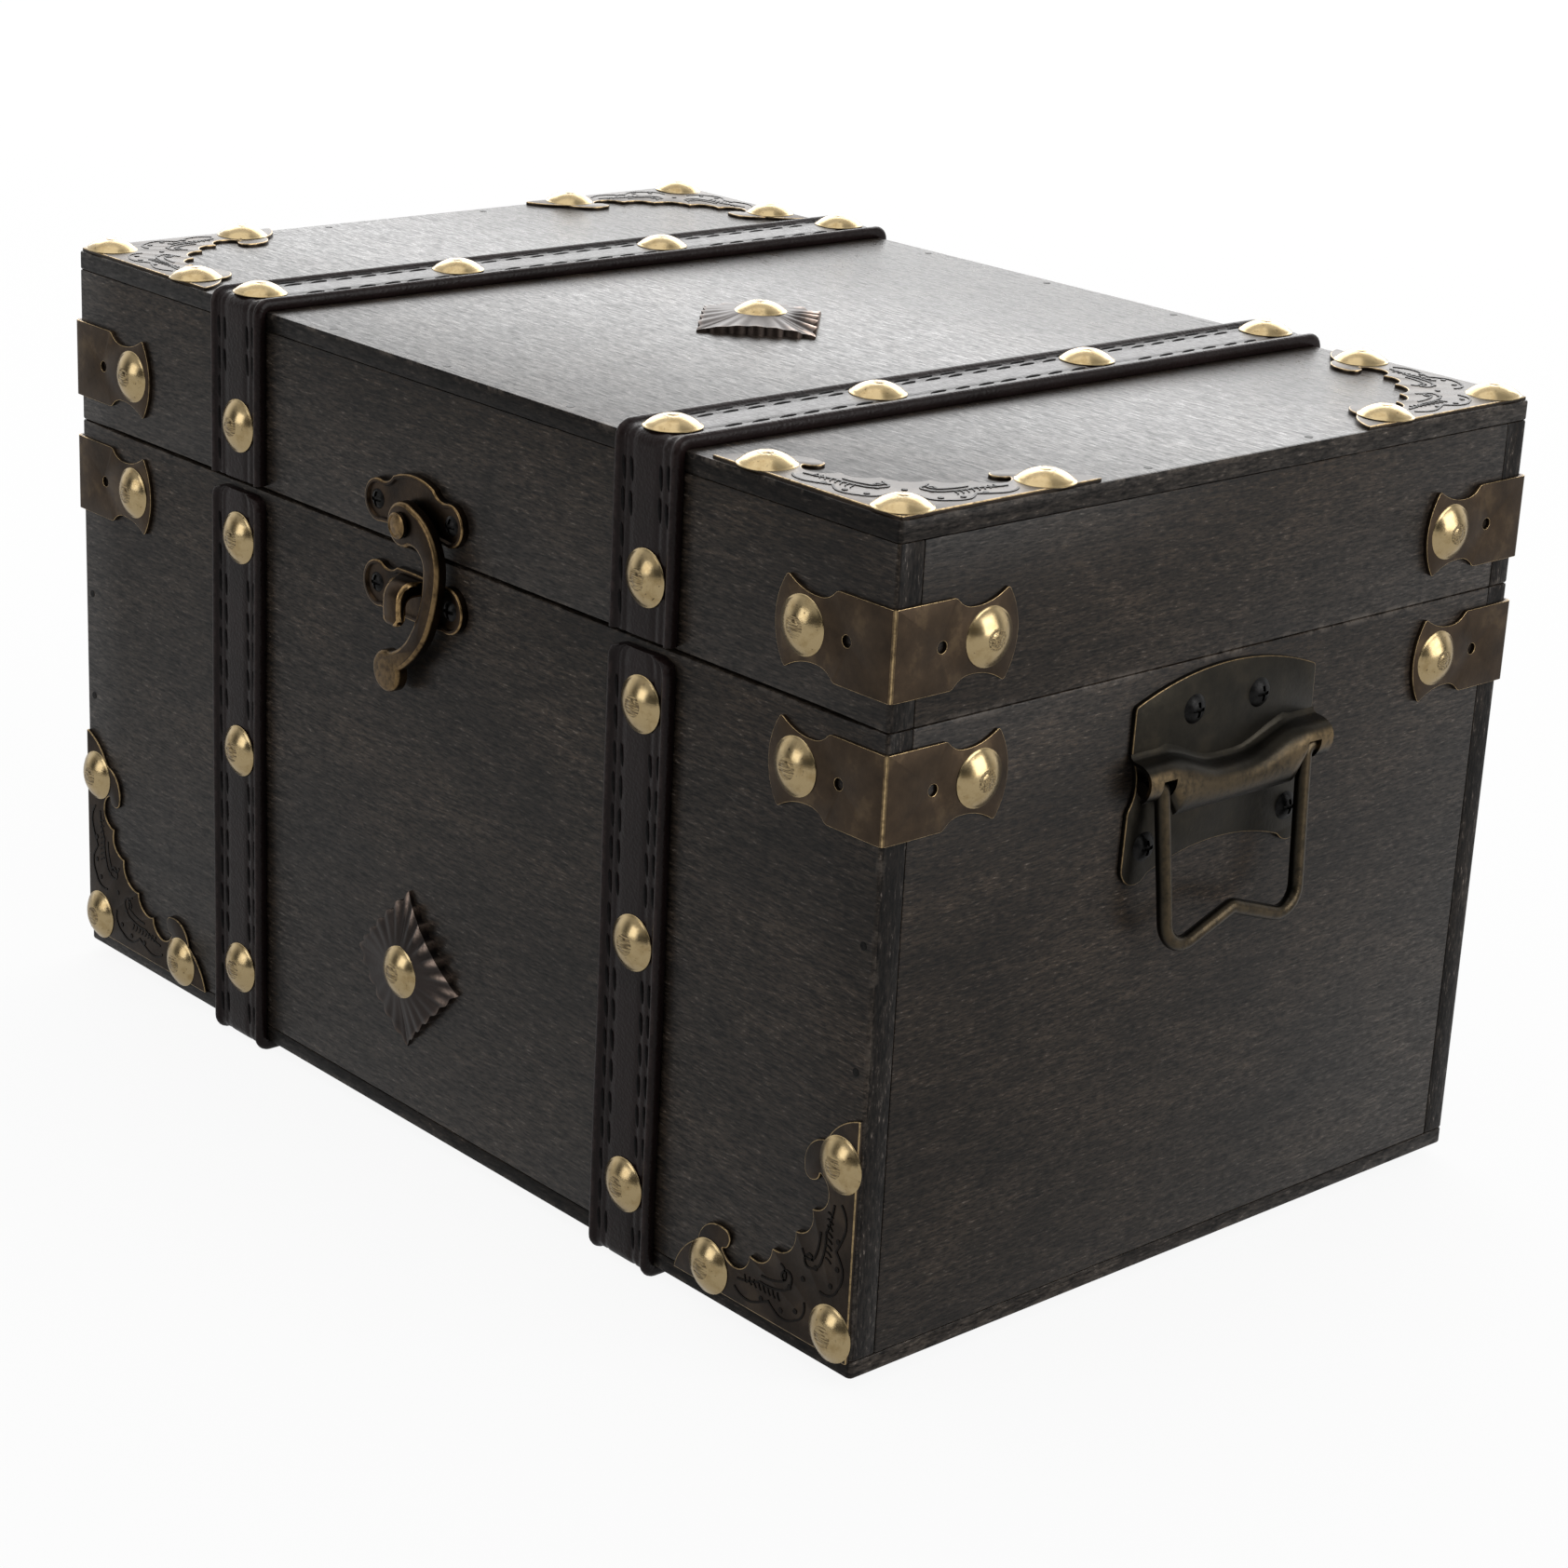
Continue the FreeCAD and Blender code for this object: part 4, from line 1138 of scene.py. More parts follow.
@dataclass
class Straps:
    """Four stitched straps, two on the base and two on the lid.

    Attributes:
        finishes: Materials of the chest.
        half_width: Half the strap's width.
        thickness: Height of the welts.
        bend: Outer radius round the edges of the case.
        front_gap: Base strap's distance from the seam on the front.
        back_gap: Distance from the seam on the back.
        end_round: Corner radius of the base strap's front end.
        pace: Length between two rings of a straight run.
        welt: Range of the rubbed welt, from the middle outwards.
        wander: How far the strap strays sideways.
        wander_rate: Strays for each millimetre along the strap.
        wander_apart: Keeps the strays of both sides different.
        rows: Places of the stitch rows across the strap.
        stitch: Half the width, length and height of a stitch.
        pitch: Length from one stitch to the next.
        slant: Turn of a stitch in degrees.
        uneven: Differences of a stitch in place along, turn and place across.
        row_ends: Clear lengths of a row at the lid's seam, lid's top, base's bottom and base's seam.
        back_clear: Length that a row stops earlier on the back.
        crossing_clear: Clear length at each end of a row that crosses the top or bottom.
        groove: Height of the stitches.
        nail_room: Clear length on both sides of a nail.
        half_section: Right half of the strap's section, as (across, out).
    """

    finishes: Finishes
    half_width: float = 8.8
    thickness: float = 2.6
    bend: float = 3.4
    front_gap: float = 1.2
    back_gap: float = 5.0
    end_round: float = 3.2
    pace: float = 5.0
    welt: Point = (7.2, 8.3)
    wander: float = 0.3
    wander_rate: float = 0.02
    wander_apart: float = 7.0
    rows: tuple[float, ...] = (-6.2, -4.1, 4.1, 6.2)
    stitch: tuple[float, float, float] = (0.5, 2.45, 0.3)
    pitch: float = 6.4
    slant: float = 7.5
    uneven: tuple[float, float, float] = (0.35, 3.0, 0.08)
    row_ends: tuple[float, float, float, float] = (2.0, 1.5, 2.5, 5.0)
    back_clear: float = 4.0
    crossing_clear: float = 3.0
    groove: float = 1.76
    nail_room: float = 7.0
    half_section: tuple[Point, ...] = (
        (0.0, 1.92), (2.2, 1.92), (3.3, 1.89), (3.75, 1.76), (4.1, 1.70), (4.45, 1.76), (4.85, 1.87),
        (5.45, 1.87), (5.85, 1.76), (6.2, 1.70), (6.6, 1.79), (7.0, 2.14), (7.4, 2.5), (7.8, 2.6),
        (8.2, 2.5), (8.55, 2.15), (8.8, 1.6), (8.75, 0.4), (8.4, 0.0),
    )

    def first_ring(self, mesh: Mesh) -> list[Edge]:
        """Section of the strap in the XY plane, X across and Y out.

        Args:
            mesh: Mesh that takes the section.

        Returns:
            Edges of the closed ring.
        """
        left = [mirror_across(point) for point in reversed(self.half_section[1:])]
        outline = left + list(self.half_section)
        pen = Pen(mesh, outline[0])
        pen.draw(outline[1:])
        mesh.verts.ensure_lookup_table()
        mesh.edges.new((mesh.verts[0], pen.tip))
        return mesh.edges[:]

    def run(self, mesh: Mesh, ring: list[Edge], way: Vector, length: float) -> list[Edge]:
        """Straight run of the strap in short paces.

        Args:
            mesh: The strap.
            ring: Ring to start from.
            way: Direction of the run.
            length: Length of the run.

        Returns:
            Edges of the last ring.
        """
        paces = max(1, round(length / self.pace))
        for _ in range(paces):
            ring = extrude_ring(mesh, ring, way * (length / paces))
        return ring

    def leather(self, side: int, body: Body) -> Mesh:
        """One strap without its stitches.

        Args:
            side: -1 on the left, 1 on the right.
            body: Base or lid.

        Returns:
            The strap.
        """
        mesh = new_mesh()
        ring = self.first_ring(mesh)
        on_lid = body is Body.LID
        toward = 1.0 if on_lid else -1.0
        turn = TOP_Z + self.thickness if on_lid else 0.0
        rim = SEAM_Z + toward * SEAM_GAP / 2
        front_end = rim + toward * (SEAM_GAP if on_lid else self.front_gap)
        back_end = rim + toward * self.back_gap
        corner = turn - toward * self.bend
        pivot_y = HALF_DEPTH + self.thickness - self.bend
        way = UP * toward
        stand = frame_matrix((side * STRAP_X, -HALF_DEPTH, front_end), (1, 0, 0), (0, -1, 0))
        bmesh.ops.transform(mesh, matrix=stand, verts=mesh.verts[:])
        start = list(ring)
        quarter = -toward * math.pi / 2
        axis = Vector((1.0, 0.0, 0.0))
        tip = min(self.end_round, 0.9 * abs(corner - front_end))
        for _ in range(4):
            ring = extrude_ring(mesh, ring, way * tip / 4)
        ring = self.run(mesh, ring, way, abs(corner - front_end) - tip)
        ring = swing_ring(mesh, ring, Vector((0, -pivot_y, corner)), axis, quarter, 6)
        ring = self.run(mesh, ring, Vector((0, 1, 0)), 2 * pivot_y)
        ring = swing_ring(mesh, ring, Vector((0, pivot_y, corner)), axis, quarter, 6)
        ring = self.run(mesh, ring, -way, abs(corner - back_end))
        close_end(mesh, start)
        close_end(mesh, ring)
        if not on_lid:
            self.round_tip(mesh, side, front_end)
        self.settle(mesh, side)
        bmesh.ops.recalc_face_normals(mesh, faces=mesh.faces[:])
        return mesh

    def round_tip(self, mesh: Mesh, side: int, end: float) -> None:
        """Draw the corners of the base strap's front end in to a round.

        Args:
            mesh: The strap.
            side: -1 on the left, 1 on the right.
            end: Height of the end.
        """
        for vert in mesh.verts:
            gone = self.end_round - (end - vert.co.z)
            if vert.co.y < 0 and gone > 0:
                shrink = self.end_round - math.sqrt(max(0.0, self.end_round ** 2 - gone ** 2))
                middle = side * STRAP_X
                vert.co.x = middle + (vert.co.x - middle) * (1 - shrink / self.half_width)

    def settle(self, mesh: Mesh, side: int) -> None:
        """Mark the welts as rubbed and let the strap stray a little sideways.

        Args:
            mesh: The strap.
            side: -1 on the left, 1 on the right.
        """
        inner, outer = self.welt
        set_wear(mesh, lambda vert: 1.0 if inner < abs(vert.co.x - side * STRAP_X) < outer else 0.0)
        for vert in mesh.verts:
            along = vert.co * self.wander_rate
            along.x = side * self.wander_apart
            vert.co.x += self.wander * noise.noise(along)

    def stitching(self, side: int, body: Body) -> Mesh:
        """Rows of stitches on the front, back and crossing of one strap.

        Args:
            side: -1 on the left, 1 on the right.
            body: Base or lid.

        Returns:
            The stitches.
        """
        bead = new_mesh()
        bmesh.ops.create_uvsphere(bead, u_segments=8, v_segments=6, radius=1.0)
        bmesh.ops.scale(bead, verts=bead.verts[:], vec=self.stitch)
        template = as_template(bead, "stitch")
        mesh = new_mesh()
        on_lid = body is Body.LID
        dice = random.Random(side * 10 + (1 if on_lid else 2))
        lid_seam, lid_top, bottom, base_seam = self.row_ends
        low, high = (SEAM_Z + lid_seam, TOP_Z - lid_top) if on_lid else (bottom, SEAM_Z - base_seam)
        crossing, lift = (TOP_Z, 1) if on_lid else (WOOD_Z, -1)
        heights = (Nails.lid_height,) if on_lid else Nails.base_heights
        depths = Nails.top_depths if on_lid else ()
        half = HALF_DEPTH - self.crossing_clear
        for row in self.rows:
            x = side * STRAP_X + row
            upright = [WOOD_Z + height for height in heights
                       if abs(row - Nails.strap_shift) < Nails.radius]
            level = [depth for depth in depths if abs(row - Nails.top_shift) < Nails.radius]
            for sign, end in ((-1, high), (1, high - self.back_clear)):
                face = frame_matrix((x, sign * HALF_DEPTH, 0), (-sign, 0, 0), (0, 0, 1))
                self.row(mesh, template, face, (low, end), upright, dice)
            face = frame_matrix((x, 0, crossing), (lift, 0, 0), (0, 1, 0))
            self.row(mesh, template, face, (-half, half), level, dice)
        bpy.data.meshes.remove(template)
        return mesh

    def row(self, mesh: Mesh, template: Template, face: Matrix, reach: Point,
            nails: Sequence[float], dice: random.Random) -> None:
        """One row of stitches along the Y of a frame.

        Args:
            mesh: Mesh that takes the stitches.
            template: One stitch.
            face: Frame of the row.
            reach: Where the row begins and ends.
            nails: Places of nails that cover the row.
            dice: Source of the small differences.
        """
        low, high = reach
        along, turn, aside = self.uneven
        count = int((high - low) / self.pitch)
        spare = (high - low) - count * self.pitch
        for step in range(count):
            up = low + spare / 2 + (step + 0.5) * self.pitch + dice.uniform(-along, along)
            skew = Matrix.Rotation(math.radians(self.slant + dice.uniform(-turn, turn)), 4, "Z")
            place = Matrix.Translation((dice.uniform(-aside, aside), up, self.groove)) @ skew
            if all(abs(up - nail) > self.nail_room for nail in nails):
                add_copy(mesh, template, face @ place)

    def build(self) -> None:
        """Make the straps and their stitching."""
        for body in (Body.BASE, Body.LID):
            for name, side in SIDES.items():
                node = body.value + "_strap_" + name
                listing = Listing.of(node, "leather", body, Slot.LEATHER)
                hand_over(self.leather(side, body), listing, [self.finishes.leather], 50.0)
                listing = Listing(node + "_stitching", body, Slot.LEATHER)
                hand_over(self.stitching(side, body), listing, [self.finishes.thread], 70.0)


# Nails

@dataclass
class Nails:
    """Domed brass nails on the straps, brackets, plates and bosses."""

    finishes: Finishes
    radius: float = 5.6
    dome: float = 2.3
    on_strap: float = 2.0
    strap_shift: float = 1.0
    top_shift: float = -0.5
    lid_height: float = 136.0
    base_heights: tuple[float, ...] = (112.0, 65.0, 15.0)
    top_depths: tuple[float, ...] = (-81.0, -30.5, 26.5, 80.5)
    bracket_from_corner: float = 22.0
    plate_spots: tuple[Point, ...] = ((4.6, 4.6), (38.5, 4.2), (4.2, 38.5))
    boss_seat: float = 2.6
    lean: float = 1.5
    ring: tuple[Point, ...] = ((0.6, 0.0), (1.2, 0.0), (1.35, 0.06), (1.5, 0.06), (1.65, 0.0))
    skirt: tuple[float, ...] = (2.1, 2.7, 3.3, 3.9, 4.4, 4.8, 5.1, 5.3)
    rim: tuple[Point, ...] = ((5.46, 0.2), (5.56, 0.12), (5.6, 0.05), (5.55, 0.0), (0.0, 0.0))
    tarnished: float = 1.9

    def template(self) -> Template:
        """One nail's head: a dome with a struck ring and a thin rim.

        Returns:
            Mesh data of the head.
        """
        sphere = (self.radius ** 2 + self.dome ** 2) / (2 * self.dome)

        def on_dome(radius: float, sunk: float = 0.0) -> Point:
            """Point of the dome at a radius, sunk below its surface."""
            return (radius, math.sqrt(sphere ** 2 - radius ** 2) - sphere + self.dome - sunk)

        ring = [on_dome(radius, sunk) for radius, sunk in self.ring]
        skirt = [on_dome(radius) for radius in self.skirt]
        mesh = turned(on_dome(0.0), [*ring, *skirt, *self.rim], 36)
        struck = [face for face in mesh.faces
                  if face.calc_center_median().to_2d().length < self.tarnished]
        rub(mesh, struck, 0.9)
        return as_template(mesh, "nail_head")

    def strap_spots(self) -> dict[Body, list[Matrix]]:
        """Nails through the straps.

        Returns:
            Their places on the base and on the lid.
        """
        base: list[Matrix] = []
        lid: list[Matrix] = []
        for side in SIDES.values():
            x = side * STRAP_X + self.strap_shift
            for face, across in ((Face.FRONT, x), (Face.BACK, -x)):
                base += [face.at(across, height, self.on_strap) for height in self.base_heights]
                lid.append(face.at(across, self.lid_height, self.on_strap))
            over = side * STRAP_X + self.top_shift
            lid += [Face.TOP.at(over, depth, self.on_strap) for depth in self.top_depths]
        return {Body.BASE: base, Body.LID: lid}

    def bracket_spots(self, body: Body) -> list[Matrix]:
        """Nails on both legs of a body's four corner brackets.

        Args:
            body: Base or lid.

        Returns:
            Their places.
        """
        legs = (frame_matrix((-self.bracket_from_corner, -BRACKET_SHEET, 0), (1, 0, 0), (0, 0, 1)),
                frame_matrix((BRACKET_SHEET, self.bracket_from_corner, 0), (0, 1, 0), (0, 0, 1)))
        return [corner_place(corner, body) @ leg for corner in CORNERS for leg in legs]

    def plate_spots_on(self, body: Body) -> list[Matrix]:
        """Nails on the scalloped plates and the boss of a body.

        Args:
            body: Base or lid.

        Returns:
            Their places.
        """
        spots = []
        for place in PLATE_PLACES[body].values():
            for along, beside in self.plate_spots:
                spots.append(place @ Matrix.Translation((along, beside, PLATE_SHEET)))
        spots.append(BOSS_PLACES[body] @ Matrix.Translation((0, 0, self.boss_seat)))
        return spots

    def build(self) -> None:
        """Make the nails in their groups, each turned and leaning a little its own way."""
        template = self.template()
        dice = random.Random(41)
        straps = self.strap_spots()
        for body in (Body.BASE, Body.LID):
            groups = (
                ("strap", straps[body]),
                ("bracket", self.bracket_spots(body)),
                ("plate", self.plate_spots_on(body)),
            )
            for kind, spots in groups:
                mesh = new_mesh()
                for spot in spots:
                    turn = Matrix.Rotation(dice.uniform(0, 2 * math.pi), 4, "Z")
                    lean = Matrix.Rotation(math.radians(dice.uniform(-self.lean, self.lean)), 4, "X")
                    add_copy(mesh, template, spot @ turn.inverted() @ lean @ turn)
                node = body.value + "_" + kind + "_studs"
                listing = Listing.of(node, "brass", body, Slot.BRASS)
                hand_over(mesh, listing, [self.finishes.brass], 45.0)
        bpy.data.meshes.remove(template)


# Corner brackets

CORNERS = {
    "front_right": (1, -1, 0),
    "back_right": (1, 1, 90),
    "back_left": (-1, 1, 180),
    "front_left": (-1, -1, 270),
}
BRACKET_HEIGHTS = {Body.BASE: 111.7, Body.LID: 137.5}


def corner_place(corner: str, body: Body) -> Matrix:
    """Placement at an upright corner, with the wood at -X and +Y of it.

    Args:
        corner: Name of the corner.
        body: Base or lid.

    Returns:
        Matrix from the bracket's own frame to the chest's.
    """
    side, depth, spin = CORNERS[corner]
    height = WOOD_Z + BRACKET_HEIGHTS[body]
    turn = Matrix.Rotation(math.radians(spin), 4, "Z")
    return Matrix.Translation((side * HALF_WIDTH, depth * HALF_DEPTH, height)) @ turn


@dataclass
class CornerBrackets:
    """Bent sheet brackets round the upright corners."""

    finishes: Finishes
    leg: float = 29.3
    half_height: float = 8.3
    band: float = 14.0
    neck: Point = (16.0, -6.6)
    waist: Point = (18.3, -6.1)
    flare: Point = (22.8, -6.7)
    tip: Point = (26.5, -8.6)
    hole: float = 1.15
    hole_from_corner: float = 11.0
    inner_bend: float = 0.15
    edge: float = 0.38
    tip_round: float = 0.6

    def flat(self) -> Mesh:
        """The bracket before it is bent, its corner line at X = 0.

        Returns:
            The flat bracket.
        """
        start = (0.0, -self.half_height)
        half: list[Move] = [
            (self.band, -self.half_height),
            (self.neck, self.waist),
            (self.flare, self.tip),
        ]
        right = there_and_back(start, half, mirror_up, (self.leg, 0.0))
        upper = there_and_back(mirror_up(start), flipped(half, mirror_up), mirror_up, (self.leg, 0.0))
        left = flipped(upper, mirror_across)
        holes = [(side * self.hole_from_corner, 0.0, self.hole) for side in (-1, 1)]
        mesh = flat_plate(start, right + left, BRACKET_SHEET, 0.0, holes, self.tip_round)
        round_edges(mesh, front_rim(mesh), self.edge)
        return mesh

    def fold(self, mesh: Mesh) -> None:
        """Bend the flat bracket round its corner line.

        Args:
            mesh: The flat bracket.
        """
        middle = self.inner_bend + BRACKET_SHEET / 2
        half_arc = middle * math.pi / 4
        for share in (-1.0, -0.6, -0.2, 0.2, 0.6, 1.0):
            bmesh.ops.bisect_plane(
                mesh, geom=mesh.verts[:] + mesh.edges[:] + mesh.faces[:], dist=0.001,
                plane_co=(share * half_arc, 0, 0), plane_no=(1, 0, 0),
            )
        for share, amount in ((0.7, 0.2), (0.25, 0.8)):
            limit = share * half_arc
            rub(mesh, [face for face in mesh.faces if abs(face.calc_center_median().x) < limit], amount)
        for vert in mesh.verts:
            along, height, out = vert.co
            if abs(along) <= half_arc:
                angle = math.radians(-45.0 + 45.0 * along / half_arc)
                radius = self.inner_bend + out
                x = radius * math.cos(angle) - self.inner_bend
                y = radius * math.sin(angle) + self.inner_bend
            elif along > 0:
                x = out
                y = self.inner_bend + along - half_arc
            else:
                x = along + half_arc - self.inner_bend
                y = -out
            vert.co = (x, y, height)
        bmesh.ops.recalc_face_normals(mesh, faces=mesh.faces[:])

    def build(self) -> None:
        """Make the eight brackets."""
        mesh = self.flat()
        self.fold(mesh)
        places = [(body.value + "_bracket_" + corner, body, corner_place(corner, body))
                  for body in BRACKET_HEIGHTS for corner in CORNERS]
        bronze_copies(as_template(mesh, "bracket"), places, [self.finishes.bracket])


# Scalloped corner plates

PLATE_INSET = 0.5
PLATE_X = HALF_WIDTH - PLATE_INSET
PLATE_Y = HALF_DEPTH - PLATE_INSET
PLATE_RISE = 3.0
PLATE_PLACES = {
    Body.LID: {
        "corner_plate_top_front_left": Face.TOP.at(-PLATE_X, -PLATE_Y, 0.0, 0),
        "corner_plate_top_front_right": Face.TOP.at(PLATE_X, -PLATE_Y, 0.0, 90),
        "corner_plate_top_back_right": Face.TOP.at(PLATE_X, PLATE_Y, 0.0, 180),
        "corner_plate_top_back_left": Face.TOP.at(-PLATE_X, PLATE_Y, 0.0, 270),
    },
    Body.BASE: {
        "corner_plate_bottom_left": Face.FRONT.at(-PLATE_X, PLATE_RISE, 0.0, 0),
        "corner_plate_bottom_right": Face.FRONT.at(PLATE_X, PLATE_RISE, 0.0, 90),
    },
}


@dataclass
class CornerPlates:
    """Ornamental plates on the corners, engraved with scrolls, leaf strokes and dots."""

    finishes: Finishes
    leg: float = 48.5
    corner: float = 0.4
    edge: float = 0.22
    line_height: float = 0.16
    line_width: float = 0.42
    line_sunk: float = 0.02
    line_step: float = 0.6
    border: tuple[Move, ...] = (
        (31.1, 3.2), ((28.2, 1.7), (25.5, 1.9)), ((23.6, 2.7), (21.4, 3.8)), ((20.2, 2.9), (18.6, 2.0)),
        ((16.6, 1.9), (14.0, 3.0)), ((11.6, 5.4), (11.6, 7.9)),
    )
    scroll: tuple[Move, ...] = (
        (30.2, 5.4), ((27.4, 5.9), (24.0, 7.2)), ((21.2, 7.2), (18.2, 7.9)), ((16.6, 8.7), (15.6, 10.6)),
        ((16.2, 12.0), (17.6, 11.4)), ((17.8, 10.6), (17.0, 10.4)),
    )
    tendril: tuple[Move, ...] = ((23.6, 8.6), ((20.6, 8.9), (18.4, 9.6)), ((17.2, 11.2), (18.6, 12.8)))
    leaf: tuple[Point, ...] = ((0.0, 5.2), (0.6, 5.9), (0.8, 6.8))
    leaf_strokes: int = 8
    leaf_from: float = 18.4
    leaf_pitch: float = 1.3
    leaf_width: float = 0.28
    dot_radii: Point = (0.75, 0.5)
    dots: tuple[Point, ...] = ((23.4, 3.7), (17.9, 3.6), (14.0, 5.1), (12.4, 12.4), (9.2, 15.9))

    def plate(self) -> Mesh:
        """The plate in the corner of +X and +Y, without its engraving.

        Returns:
            The plate.
        """
        half: list[Move] = [
            (self.leg, 0.0),
            ((46.2, 4.7), (41.8, 8.4)),
            ((38.9, 12.9), (34.6, 13.6)),
            ((32.9, 12.6), (32.9, 10.9)),
            ((33.7, 9.8), (34.9, 9.5)),
            ((31.6, 7.0), (27.2, 11.1)),
            ((23.0, 11.4), (21.1, 15.1)),
        ]
        outline = there_and_back((0.0, 0.0), half, mirror_diagonal, (16.5, 16.5))
        mesh = flat_plate((0.0, 0.0), outline, PLATE_SHEET, soften=self.corner)
        round_edges(mesh, front_rim(mesh), self.edge, wear=0.7)
        return mesh

    def engrave(self, mesh: Mesh, moves: Sequence[Move], width: float) -> None:
        """Lay one dark line on the plate, and its mirror image.

        Args:
            mesh: The plate.
            moves: First point and strokes of the line.
            width: Width of the line.
        """
        for strokes in (moves, flipped(moves, mirror_diagonal)):
            line = new_mesh()
            Pen(line, strokes[0], self.line_step).draw(strokes[1:])
            raised = bmesh.ops.extrude_edge_only(line, edges=line.edges[:])
            bmesh.ops.translate(line, verts=moved_part(raised), vec=UP * self.line_height)
            bmesh.ops.recalc_face_normals(line, faces=line.faces[:])
            bmesh.ops.solidify(line, geom=line.faces[:], thickness=width)
            bmesh.ops.recalc_face_normals(line, faces=line.faces[:])
            for face in line.faces:
                face.material_index = 1
            join(mesh, line, Matrix.Translation((0, 0, PLATE_SHEET - self.line_sunk)))

    def dot(self, mesh: Mesh, spot: Point) -> None:
        """Punch one round dot and its mirror image.

        Args:
            mesh: The plate.
            spot: Middle of the dot.
        """
        wide, narrow = self.dot_radii
        for point in {spot, mirror_diagonal(spot)}:
            made = bmesh.ops.create_cone(
                mesh, cap_ends=True, segments=12, radius1=wide, radius2=narrow,
                depth=2 * self.line_height, matrix=Matrix.Translation((*point, PLATE_SHEET)),
            )
            for face in {face for vert in made["verts"] for face in vert.link_faces}:
                face.material_index = 1

    def template(self) -> Template:
        """Plate with all its engraving.

        Returns:
            Mesh data of the plate.
        """
        mesh = self.plate()
        for line in (self.border, self.scroll, self.tendril):
            self.engrave(mesh, line, self.line_width)
        for stroke in range(self.leaf_strokes):
            at = self.leaf_from + self.leaf_pitch * stroke
            begin, bend, tip = ((at + across, up) for across, up in self.leaf)
            self.engrave(mesh, [begin, (bend, tip)], self.leaf_width)
        for spot in self.dots:
            self.dot(mesh, spot)
        return as_template(mesh, "corner_plate")

    def build(self) -> None:
        """Make the six plates."""
        places = [(node, body, place)
                  for body, spots in PLATE_PLACES.items() for node, place in spots.items()]
        bronze_copies(self.template(), places, [self.finishes.plate, self.finishes.engraved])


# Pleated bosses

BOSS_PLACES = {Body.BASE: Face.FRONT.at(-5.5, 34.5), Body.LID: Face.TOP.at(0.5, -3.0)}


@dataclass
class DiamondBosses:
    """Pleated square stampings under a nail."""

    finishes: Finishes
    half_diagonal: float = 17.2
    pleats: int = 6
    crown_radius: float = 3.6
    crown: float = 3.1
    rim: float = 0.35
    lift: float = 1.5
    pleat_depth: float = 0.85
    notch: float = 1.1
    rings: int = 9
    facets: int = 14

    def pleat(self, angle: float) -> tuple[float, float, float]:
        """Place along the side, height of the pleat and its strength at an angle about the crown.

        Args:
            angle: Direction from the crown in radians.

        Returns:
            Place from corner to corner (0 to 1), pleat (0 in a furrow, 1 on a ridge) and strength.
        """
        across, up = abs(math.cos(angle)), abs(math.sin(angle))
        along = up / (across + up)
        wave = (0.5 + 0.5 * math.cos(2 * math.pi * self.pleats * along)) ** 0.8
        strength = 0.30 + 0.70 * smoothstep(0.2, 0.95, math.cos(angle - math.pi / 4))
        return along, wave, strength

    def reach(self, angle: float) -> float:
        """Distance of the square's side from its middle at an angle."""
        return self.half_diagonal / (abs(math.cos(angle)) + abs(math.sin(angle)))

    def height(self, share: float, angle: float) -> float:
        """Height of the stamping above the wood.

        Args:
            share: Way from the crown to the rim, 0 to 1.
            angle: Direction from the crown in radians.

        Returns:
            The height.
        """
        along, wave, strength = self.pleat(angle)
        side = math.sin(math.pi * along)
        edge = self.rim + self.lift * side ** 0.7
        fall = (1.0 - share) ** 1.3
        swell = smoothstep(0.15, 0.8, share) * (0.3 + 0.7 * side)
        relief = self.pleat_depth * strength * (wave - 0.4) * swell
        return max(0.12, edge + (self.crown - edge) * fall + relief)

    def boss(self) -> Mesh:
        """The stamping, drawn out ring by ring from its crown.

        Returns:
            The stamping.
        """
        mesh = new_mesh()
        bmesh.ops.create_circle(mesh, cap_ends=False, radius=1.0, segments=4 * self.pleats * self.facets)
        ring = mesh.edges[:]
        for step in range(self.rings + 1):
            if step:
                ring = extrude_ring(mesh, ring, UP * 0.0)
            share = step / self.rings
            for vert in {vert for edge in ring for vert in edge.verts}:
                angle = math.atan2(vert.co.y, vert.co.x)
                _, wave, strength = self.pleat(angle)
                notch = self.notch * (1 - wave) * (0.45 + 0.55 * strength) * smoothstep(0.75, 1.0, share)
                radius = self.crown_radius + (self.reach(angle) - notch - self.crown_radius) * share
                vert.co = (radius * math.cos(angle), radius * math.sin(angle), self.height(share, angle))
        outer = extrude_ring(mesh, ring, UP * 0.0)
        for vert in {vert for edge in outer for vert in edge.verts}:
            vert.co.z = 0.0
        bmesh.ops.holes_fill(mesh, edges=[edge for edge in mesh.edges if edge.is_boundary], sides=0)
        bmesh.ops.recalc_face_normals(mesh, faces=mesh.faces[:])
        self.burnish_and_highlight(mesh)
        return mesh

    def burnish_and_highlight(self, mesh: Mesh) -> None:
        """Mark the outer ends of the strong ridges, and the edge a little, as rubbed: partly wear, partly
        a painted highlight where the pleats are strongest.

        Args:
            mesh: The stamping.
        """
        def rubbed(vert: Vert) -> float:
            """How bright a point is rubbed, as wear and painted highlight together.

            Args:
                vert: The point.

            Returns:
                Amount from 0 to 1.
            """
            angle = math.atan2(vert.co.y, vert.co.x)
            _, wave, strength = self.pleat(angle)
            share = vert.co.to_2d().length / self.reach(angle)
            # Pale ridge tips, only on the side of the strong pleats: wear plus a painted highlight.
            ridge = 0.95 * wave ** 3 * smoothstep(0.68, 0.92, share) * smoothstep(0.38, 0.92, strength)
            return max(ridge, 0.16 * smoothstep(0.90, 1.0, share))

        set_wear(mesh, rubbed)

    def build(self) -> None:
        """Make the two bosses."""
        nodes = ((Body.BASE, "diamond_boss_front"), (Body.LID, "diamond_boss_top"))
        places = [(node, body, BOSS_PLACES[body]) for body, node in nodes]
        bronze_copies(as_template(self.boss(), "boss"), places, [self.finishes.boss], 60.0)


# Latch

